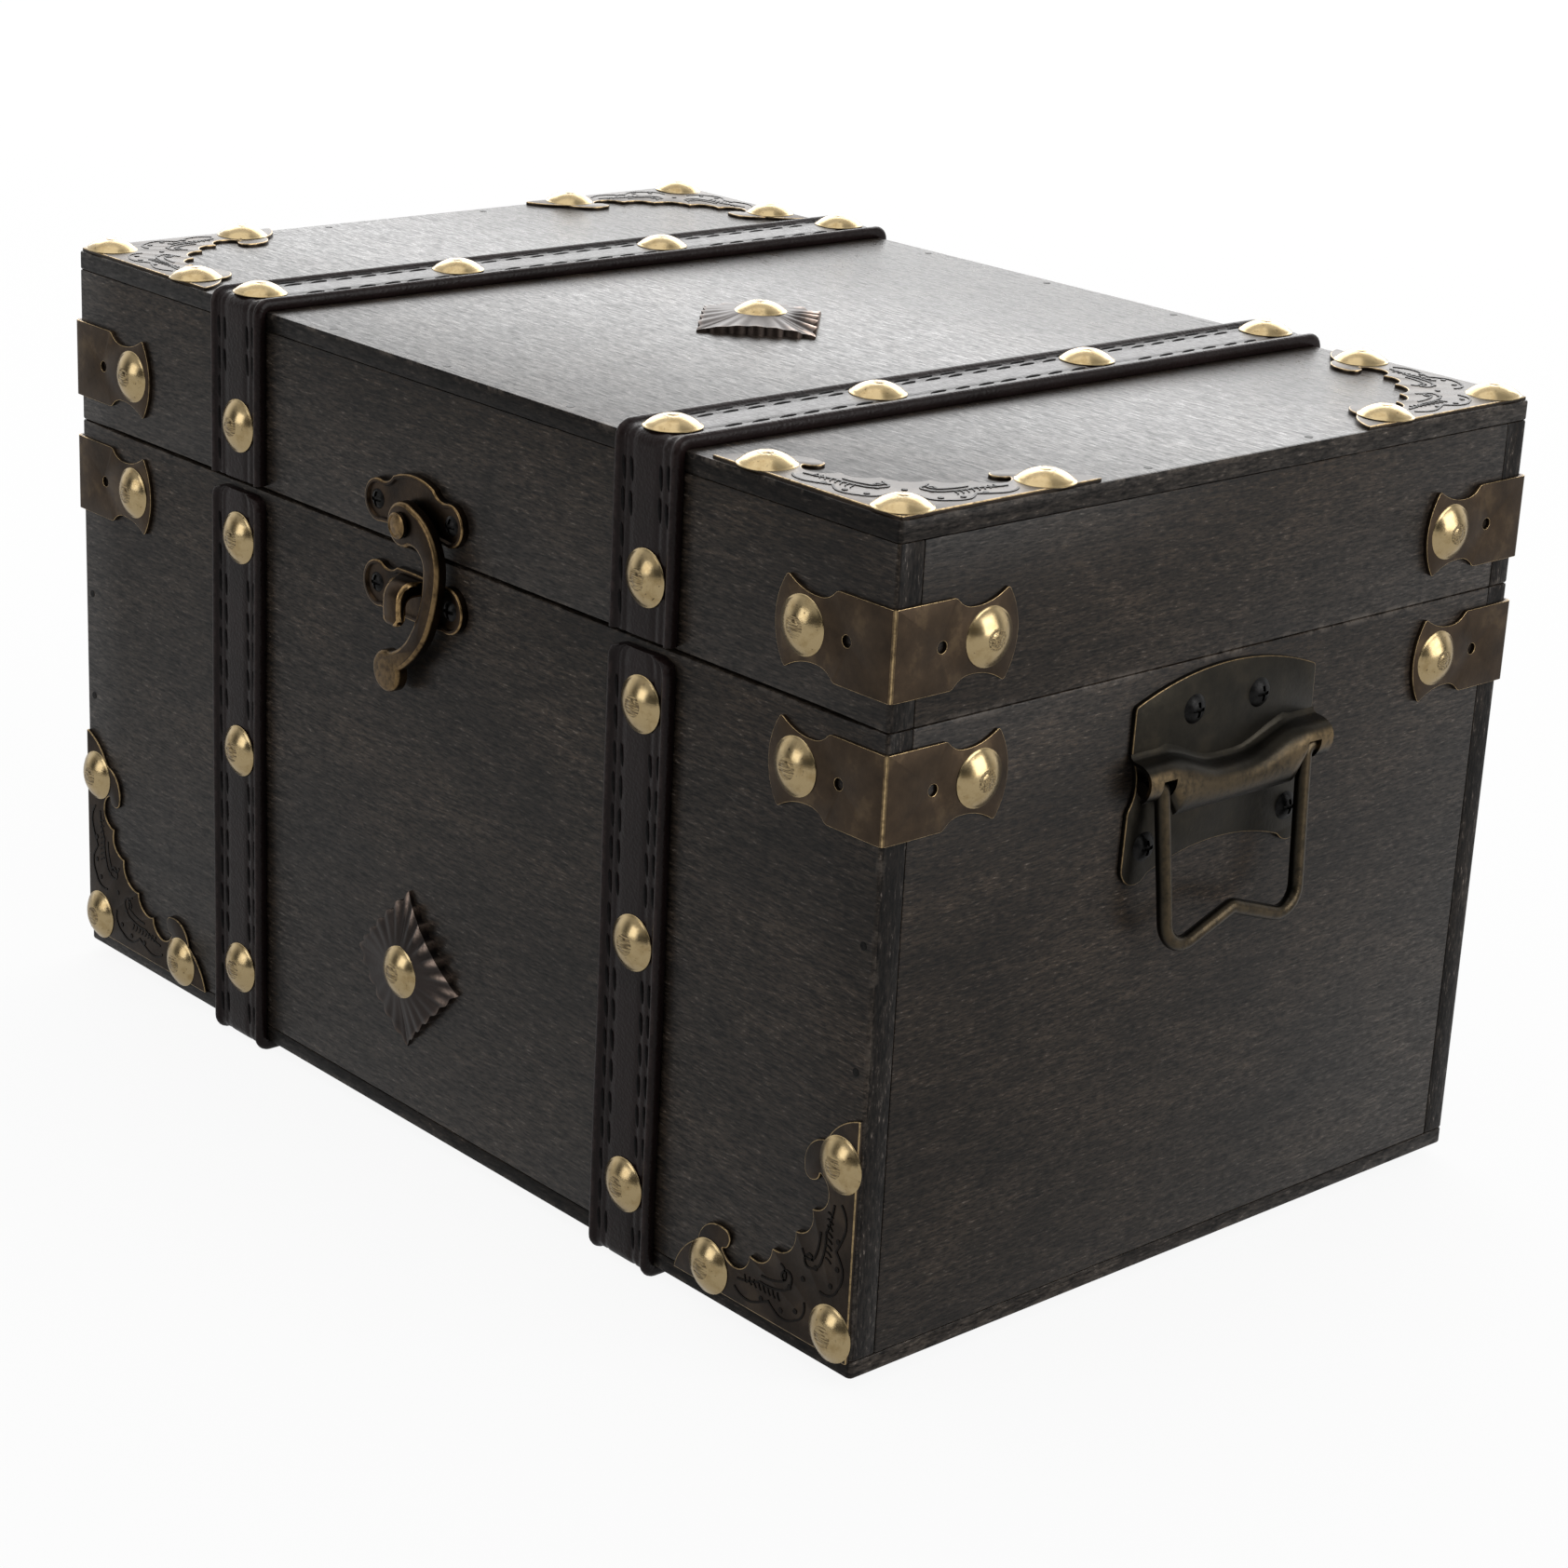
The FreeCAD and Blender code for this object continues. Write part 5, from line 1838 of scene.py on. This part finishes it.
@dataclass
class Latch:
    """Swing-hook latch on the front: a plate on the lid, a catch on the base and the hook."""

    finishes: Finishes
    across: float = -4.4
    plate_height: float = 131.5
    pivot_height: float = 129.4
    catch_height: float = 114.4
    sheet: float = 1.2
    rim: float = 0.8
    slope: float = 0.3
    recess: float = 0.55
    raised: float = 0.5
    rim_round: float = 0.34
    arm_back: float = 2.2
    arm_front: float = 4.6
    hub: float = 4.6
    pad: float = 4.3
    pad_spot: Point = (-4.6, -31.0)
    tongue_root: float = 4.2
    tongue_half: float = 2.7
    tongue_round: float = 2.2
    soft_edge: float = 0.75

    def sink(self, mesh: Mesh) -> None:
        """Sink the middle of a plate's front inside a raised rim.

        Args:
            mesh: The plate.
        """
        mesh.normal_update()
        front = [face for face in mesh.faces if face.normal.z > 0.9]
        for width, depth in ((self.rim, 0.0), (self.slope, -self.recess)):
            bmesh.ops.inset_region(
                mesh, faces=front, thickness=width, depth=depth, use_even_offset=True, use_boundary=True
            )

    def winged(self, start: Point, half: Sequence[Move], bridge: Point) -> Mesh:
        """Plate with two wings and a sunk front.

        Args:
            start: First point of the right half.
            half: Strokes of the right half.
            bridge: Point of the arc that joins the halves.

        Returns:
            The plate, its middle at the origin.
        """
        outline = there_and_back(start, half, mirror_across, bridge)
        mesh = flat_plate(start, outline, self.sheet + self.raised)
        self.sink(mesh)
        round_edges(mesh, front_rim(mesh), self.rim_round, 3, 0.6)
        return mesh

    def plate(self) -> Mesh:
        """Winged plate on the lid with a boss under the pivot.

        Returns:
            The plate.
        """
        half: list[Move] = [
            ((3.2, -4.6), (6.0, -4.0)),
            (10.6, -4.3),
            ((16.1, 0.0), (10.8, 4.3)),
            ((8.2, 4.6), (6.6, 6.0)),
        ]
        mesh = self.winged((0.0, -4.8), half, (0.0, 7.4))
        boss = turned((0.0, 2.15), [(3.4, 2.15), (3.7, 1.9), (3.8, 0.2), (0.0, 0.2)], 28)
        join(mesh, boss, Matrix.Translation((0, self.pivot_height - self.plate_height, 0)))
        return mesh

    def catch(self) -> Mesh:
        """Winged plate on the base with a tongue that stands out and bends down.

        Returns:
            The catch.
        """
        half: list[Move] = [
            (6.0, -5.0),
            (10.2, -4.6),
            ((16.4, 0.0), (10.2, 4.6)),
            ((8.0, 3.8), (5.0, 4.8)),
        ]
        mesh = self.winged((0.0, -5.0), half, (0.0, 4.9))
        join(mesh, self.tongue(), Matrix.Rotation(-math.pi / 2, 4, "Y"))
        return mesh

    def tongue(self) -> Mesh:
        """Tongue of the catch, narrowed to a round tip.

        Returns:
            The tongue in its own profile plane, X out and Y up.
        """
        low = -5.4
        mesh = flat_plate((0.5, 4.0), [
            (2.0, 4.0),
            (3.2, 3.9),
            ((5.6, 2.9), (6.8, 0.2)),
            (6.85, -1.4),
            (6.8, -2.8),
            (6.7, -3.6),
            ((5.7, low), (4.6, -4.2)),
            (4.6, -2.6),
            (4.6, -1.0),
            ((3.9, 0.2), (2.8, 0.5)),
            (0.5, 0.5),
        ], 2.0, -1.0)
        for vert in mesh.verts:
            drop = smoothstep(low + self.tongue_round, low, vert.co.y)
            flare = smoothstep(5.0, 1.5, vert.co.x) * smoothstep(0.0, 3.0, vert.co.y)
            half = self.tongue_half + (self.tongue_root - self.tongue_half) * flare
            vert.co.z *= half * (1.0 - 0.5 * drop ** 2)
        sides = [edge for edge in mesh.edges if edge.calc_face_angle(0.0) > math.radians(55)
                 and edge.verts[0].co.z * edge.verts[1].co.z > 0]
        round_edges(mesh, sides, 0.7, 3, 0.9)
        return mesh

    def arm(self) -> Mesh:
        """Hook with a hub, a bowed arm and a round finger pad.

        Returns:
            The hook, its pivot at the origin.
        """
        x, y = self.pad_spot
        outline: list[Move] = [
            ((-3.25, 3.25), (0.0, self.hub)),
            ((1.7, 4.5), (3.2, 3.9)),
            ((9.6, -0.4), (12.0, -8.2)),
            ((10.78, -15.11), (8.1, -21.6)),
            ((4.18, -26.44), (x + 4.2, y + 1.0)),
            ((x + 0.6, y - self.pad), (x - self.pad, y)),
            ((x - 2.6, y + 3.45), (x + 0.9, y + 4.2)),
            ((0.3, -24.6), (3.4, -20.9)),
            ((6.30, -14.74), (7.3, -8.0)),
            ((5.9, -4.6), (2.6, -3.8)),
            ((-3.25, -3.25), (-self.hub, 0.0)),
        ]
        mesh = flat_plate((-self.hub, 0.0), outline, self.arm_front - self.arm_back, self.arm_back)
        round_edges(mesh, front_rim(mesh), self.soft_edge, 4, 0.42)
        pad = Vector(self.pad_spot)
        near, far = self.pad - 2.0, self.pad + 2.0
        set_wear(mesh, lambda vert: 0.4 * smoothstep(far, near, (vert.co.to_2d() - pad).length))
        return mesh

    def rivet(self) -> Mesh:
        """Pivot rivet with a ringed head.

        Returns:
            The rivet.
        """
        head: list[Move] = [(1.7, 5.7), (2.1, 5.55), (2.35, 5.75), (2.65, 5.6), (2.7, 4.9)]
        shank: list[Move] = [(1.6, 4.8), (1.6, 0.2), (0.0, 0.2)]
        mesh = turned((0.0, 5.75), head + shank, 28)
        rub(mesh, [face for face in mesh.faces if face.normal.z > 0.3], 0.5)
        return mesh

    def build(self) -> None:
        """Make the latch."""
        parts = (
            (self.plate(), "latch_plate", Body.LID, self.plate_height),
            (self.catch(), "latch_catch", Body.BASE, self.catch_height),
            (self.arm(), "latch_arm", Body.HOOK, self.pivot_height),
            (self.rivet(), "latch_pivot_rivet", Body.LID, self.pivot_height),
        )
        for mesh, node, body, height in parts:
            mesh.transform(Face.FRONT.at(self.across, height))
            hand_over(mesh, Listing.of(node, "bronze", body, Slot.BRONZE), [self.finishes.latch])


# Handles

@dataclass
class Handles:
    """Drop handle on each end: a pressed plate with a barrel, and a bent wire bail."""

    finishes: Finishes
    axis_height: float = 102.5
    axis_out: float = 4.2
    sheet: float = 1.0
    above: float = 4.8
    below: float = 6.5
    ear_below: float = 2.7
    sag: float = 3.9
    half_length: float = 25.5
    middle: float = 16.4
    slot: Point = (18.5, 22.1)
    slot_top: float = 1.9
    wall: float = 0.7
    wire: float = 1.5
    lean: float = 5.0
    bail_points: tuple[Point, ...] = ((25.2, 0.0), (20.0, 0.0), (18.2, -33.6), (0.0, -27.4))
    bail_bends: tuple[float, ...] = (1.7, 5.0, 2.6)
    section: tuple[Point, ...] = (
        (-0.16, 1.0), (-0.08, 1.15), (-0.02, 1.7), (0.0, 2.6), (0.02, 3.7), (0.07, 4.8), (0.16, 5.75),
        (0.28, 6.35), (0.42, 6.6), (0.58, 6.5), (0.72, 6.15), (0.85, 5.6), (0.94, 5.0), (1.0, 4.3),
    )

    def plate(self) -> Mesh:
        """Flat back plate with an arched top and two lobes.

        Returns:
            The plate.
        """
        half: list[Move] = [
            ((23.2, -20.0), (25.6, -16.2)),
            (25.2, -5.4),
            ((23.4, 0.0), (25.2, 5.4)),
            (25.0, 14.8),
        ]
        start = (18.5, -18.6)
        moves = there_and_back(start, half, mirror_across, (0.0, 19.6))
        moves.append(((0.0, -15.4), start))
        mesh = flat_plate(start, moves, self.sheet, soften=0.6)
        round_edges(mesh, front_rim(mesh), 0.2)
        return mesh

    def stations(self) -> list[float]:
        """Places along the barrel where its section is set.

        Returns:
            The places from end to end.
        """
        inner, outer = self.slot
        half = [0.0, 2.5, 5.0, 7.5, 10.0, 12.5, 15.0, self.middle]
        half += [inner, 20.2, outer, 24.0, self.half_length]
        return [-place for place in reversed(half[1:])] + half

    def handled(self, vert: Vert) -> float:
        """How bright a point of the barrel is rubbed: its crest, most at both ends."""
        ends = 0.35 + 0.65 * smoothstep(8.0, 24.0, abs(vert.co.x))
        return 0.7 * smoothstep(5.6, 6.6, vert.co.z) * ends

    def barrel(self) -> Mesh:
        """Pressed barrel, its upper side sagging to the middle, open below and slotted.

        Returns:
            The barrel.
        """
        mesh = new_mesh()
        stations = self.stations()
        Pen(mesh, self.section[0]).draw(self.section[1:])
        for vert in mesh.verts:
            vert.co = (stations[0], vert.co.x, vert.co.y)
        chain = mesh.edges[:]
        for here, there in zip(stations, stations[1:]):
            chain = extrude_ring(mesh, chain, Vector((there - here, 0.0, 0.0)))
        for vert in mesh.verts:
            along = abs(vert.co.x)
            high = self.above - self.sag * (1.0 - smoothstep(3.0, 18.0, along))
            low = self.below if along < self.middle + 0.1 else self.ear_below
            vert.co.y = high - (high + low) * vert.co.y
        inner, outer = self.slot
        gone = []
        for face in mesh.faces:
            middle = face.calc_center_median()
            if inner < abs(middle.x) < outer and middle.y < self.slot_top and middle.z > 2.0:
                gone.append(face)
        bmesh.ops.delete(mesh, geom=gone, context="FACES")
        bmesh.ops.recalc_face_normals(mesh, faces=mesh.faces[:])
        if sum(face.normal.z for face in mesh.faces) < 0:
            bmesh.ops.reverse_faces(mesh, faces=mesh.faces[:])
        set_wear(mesh, self.handled)
        bmesh.ops.solidify(mesh, geom=mesh.faces[:], thickness=self.wall)
        bmesh.ops.recalc_face_normals(mesh, faces=mesh.faces[:])
        return mesh

    def bail(self) -> Mesh:
        """Bent wire, drawn along its runs and swung round its bends.

        Returns:
            The wire, its pivots on the X axis.
        """
        path = list(self.bail_points) + [mirror_across(point) for point in self.bail_points[-2::-1]]
        points = [Vector((*point, 0.0)) for point in path]
        bends = self.bail_bends + self.bail_bends[-2::-1]
        mesh = new_mesh()
        here = points[0]
        place = Matrix.Translation(here) @ Matrix.Rotation(math.pi / 2, 4, "Y")
        bmesh.ops.create_circle(mesh, cap_ends=False, radius=self.wire, segments=16, matrix=place)
        ring = mesh.edges[:]
        close_end(mesh, ring)
        for before, corner, after, radius in zip(points, points[1:], points[2:], bends):
            back = (before - corner).normalized()
            ahead = (after - corner).normalized()
            half_angle = back.angle(ahead) / 2
            tangent = radius / math.tan(half_angle)
            ring = extrude_ring(mesh, ring, corner + back * tangent - here)
            centre = corner + (back + ahead).normalized() * (radius / math.sin(half_angle))
            axis = (-back).cross(ahead).normalized()
            ring = swing_ring(mesh, ring, centre, axis, math.pi - 2 * half_angle, 8)
            here = corner + ahead * tangent
        ring = extrude_ring(mesh, ring, points[-1] - here)
        close_end(mesh, ring)
        bmesh.ops.recalc_face_normals(mesh, faces=mesh.faces[:])
        mesh.normal_update()
        set_wear(mesh, lambda vert: 0.22 * smoothstep(0.3, 0.95, vert.normal.z))
        mesh.transform(Matrix.Rotation(math.radians(-self.lean), 4, "X"))
        return mesh

    def build(self) -> None:
        """Make both handles."""
        bails = {"left": Body.LEFT_BAIL, "right": Body.RIGHT_BAIL}
        faces = {"left": Face.LEFT, "right": Face.RIGHT}
        bronze = [self.finishes.handle]
        for name in SIDES:
            mesh = self.plate()
            join(mesh, self.barrel(), Matrix.Identity(4))
            mesh.transform(faces[name].at(0.0, self.axis_height))
            listing = Listing.of("handle_plate_" + name, "bronze", Body.BASE, Slot.BRONZE)
            hand_over(mesh, listing, bronze, 40.0)
            wire = self.bail()
            wire.transform(faces[name].at(0.0, self.axis_height, self.axis_out))
            listing = Listing.of("handle_bail_" + name, "bronze", bails[name], Slot.BRONZE)
            hand_over(wire, listing, bronze, 60.0)


# Small fasteners and hinges keep their solids

@dataclass
class KeptSolids:
    """Screws, brads and hinges, whose solids have their shape already."""

    finishes: Finishes

    def dress(self) -> None:
        """Give each kept solid its finish."""
        finishes = self.finishes
        kinds = (("screws", finishes.screw), ("brads", finishes.brad), ("hinge_", finishes.handle))
        for node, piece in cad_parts.items():
            for word, finish in kinds:
                if word in node:
                    piece.data.materials.clear()
                    piece.data.materials.append(finish)
                    LOG.info("%s keeps its solid", node)
                    break


# Studio

@dataclass(frozen=True)
class PhotoCamera:
    """Camera that stands where the photograph was taken from; degrees and millimetres."""

    azimuth: float = 47.34
    elevation: float = 19.45
    roll: float = 2.90
    distance: float = 751.7
    lens: float = 80.32
    shift_right: float = 6.97
    shift_up: float = -20.0
    aim_height: float = 80.45 + WOOD_Z
    sensor: float = 36.0
    clip: Point = (10.0, 50000.0)

    def build(self) -> None:
        """Make the camera and look through it."""
        azimuth, elevation, roll = map(math.radians, (self.azimuth, self.elevation, self.roll))
        level = math.cos(elevation)
        back = Vector((math.sin(azimuth) * level, -math.cos(azimuth) * level, math.sin(elevation)))
        right = UP.cross(back).normalized()
        over = back.cross(right)
        tilted_right = right * math.cos(roll) + over * math.sin(roll)
        tilted_up = over * math.cos(roll) - right * math.sin(roll)
        place = back * self.distance + tilted_right * self.shift_right + tilted_up * self.shift_up
        place.z += self.aim_height
        turn = Matrix((tilted_right, tilted_up, back)).transposed().to_4x4()
        data = bpy.data.cameras.new("photo_camera")
        data.lens = self.lens
        data.sensor_width = self.sensor
        data.clip_start, data.clip_end = (distance * MM for distance in self.clip)
        camera = bpy.data.objects.new("photo_camera", data)
        camera.matrix_world = Matrix.Translation(place * MM) @ turn
        bpy.context.scene.collection.objects.link(camera)
        bpy.context.scene.camera = camera


@dataclass(frozen=True)
class SoftLamp:
    """Large lamp aimed at the chest; metres and watts."""

    name: str
    place: tuple[float, float, float]
    size: Point
    power: float
    aim: tuple[float, float, float] = (0.0, 0.0, 0.08)

    def build(self) -> None:
        """Make the lamp."""
        data = bpy.data.lights.new(self.name, "AREA")
        data.energy = self.power
        data.shape = "RECTANGLE"
        data.size, data.size_y = self.size
        lamp = bpy.data.objects.new(self.name, data)
        lamp.location = self.place
        lamp.rotation_mode = "QUATERNION"
        lamp.rotation_quaternion = (Vector(self.aim) - Vector(self.place)).to_track_quat("-Z", "Y")
        lamp.visible_camera = False
        bpy.context.scene.collection.objects.link(lamp)


@dataclass
class Studio:
    """White floor, white surroundings and soft lamps."""

    floor_half: float = 6.0
    floor_bounce: float = 0.28
    floor_white: float = 0.8
    floor_glow: float = 0.91
    mirrored_glow: float = 0.5
    fill: float = 0.5
    dim_side: float = 0.06
    mirrored_above: float = 0.5
    lit_from: Point = (0.22, 0.62)
    dim_from: Point = (0.05, -0.55)
    toward_viewer: tuple[float, float, float] = (0.735, -0.678, 0.0)
    lamps: tuple[SoftLamp, ...] = (
        SoftLamp("overhead_lamp", (-0.2, -0.25, 1.5), (1.2, 1.2), 4.5),
        SoftLamp("front_lamp", (-0.5, -1.95, 0.65), (0.9, 0.9), 5.5),
        SoftLamp("right_lamp", (1.85, 0.65, 0.75), (1.4, 1.4), 22.0),
        SoftLamp("back_lamp", (-1.85, 1.9, 1.4), (3.6, 2.0), 72.0),
    )

    def surroundings(self) -> None:
        """White world, whose mirror image is dimmer low on the viewer's side, as in a dark room."""
        world = bpy.data.worlds.new("white_surroundings")
        world.use_nodes = True
        nodes = Nodes(world.node_tree)
        path = nodes.add("LightPath").outputs
        way = nodes.add("TexCoord").outputs["Generated"]
        height = nodes.add("SeparateXYZ", Vector=way).outputs["Z"]
        facing = nodes.add("VectorMath")
        facing.operation = "DOT_PRODUCT"
        nodes.feed(facing.inputs[0], way)
        nodes.feed(facing.inputs[1], self.toward_viewer)
        above = nodes.math("MULTIPLY", nodes.rise(height, *self.lit_from), self.mirrored_above)
        behind = nodes.rise(facing.outputs["Value"], *self.dim_from)
        bright = nodes.math("MAXIMUM", nodes.math("MAXIMUM", above, behind), self.dim_side)
        mirror = nodes.math("MAXIMUM", path["Is Glossy Ray"], path["Is Transmission Ray"])
        direct = nodes.math("MAXIMUM", path["Is Camera Ray"], nodes.math("MULTIPLY", mirror, bright))
        rest = nodes.math("MAXIMUM", path["Is Camera Ray"], mirror)
        soft = nodes.math("MULTIPLY", nodes.math("SUBTRACT", 1.0, rest), self.fill)
        strength = nodes.math("ADD", direct, soft)
        background = nodes.add("Background", Color=(1.0, 1.0, 1.0), Strength=strength)
        nodes.add("OutputWorld", Surface=background.outputs[0])
        bpy.context.scene.world = world

    def floor(self) -> None:
        """Plain pale floor that keeps the chest's shadow."""
        mesh = bmesh.new()
        bmesh.ops.create_grid(mesh, x_segments=1, y_segments=1, size=self.floor_half)
        data = as_template(mesh, "floor")
        material = bpy.data.materials.new("pale_floor")
        material.use_nodes = True
        nodes = Nodes(material.node_tree)
        path = nodes.add("LightPath").outputs
        mirror = nodes.math("MAXIMUM", path["Is Glossy Ray"], path["Is Transmission Ray"])
        seen = nodes.math("MULTIPLY", path["Is Camera Ray"], self.floor_glow)
        share = nodes.math("MAXIMUM", seen, nodes.math("MULTIPLY", mirror, self.mirrored_glow))
        paler = nodes.math("MULTIPLY", path["Is Camera Ray"], self.floor_white - self.floor_bounce)
        matt = nodes.add("BsdfDiffuse", Color=nodes.math("ADD", paler, self.floor_bounce))
        blend = nodes.add("MixShader", Fac=share)
        for socket, shader in zip(blend.inputs[1:], (matt, nodes.add("Emission"))):
            nodes.feed(socket, shader.outputs[0])
        nodes.add("OutputMaterial", Surface=blend.outputs[0])
        data.materials.append(material)
        floor = bpy.data.objects.new("floor", data)
        bpy.context.scene.collection.objects.link(floor)

    def build(self) -> None:
        """Set the scene."""
        bpy.context.scene.view_settings.view_transform = "Standard"
        self.surroundings()
        self.floor()
        for lamp in self.lamps:
            lamp.build()
        PhotoCamera().build()


def main() -> None:
    """Build every sub-assembly and the studio."""
    logging.basicConfig(level=logging.INFO, format="%(name)s: %(message)s")
    finishes = Finishes()
    Case(finishes).build()
    Straps(finishes).build()
    Nails(finishes).build()
    CornerBrackets(finishes).build()
    CornerPlates(finishes).build()
    DiamondBosses(finishes).build()
    Latch(finishes).build()
    Handles(finishes).build()
    KeptSolids(finishes).dress()
    Studio().build()


if __name__ == "__main__":
    main()
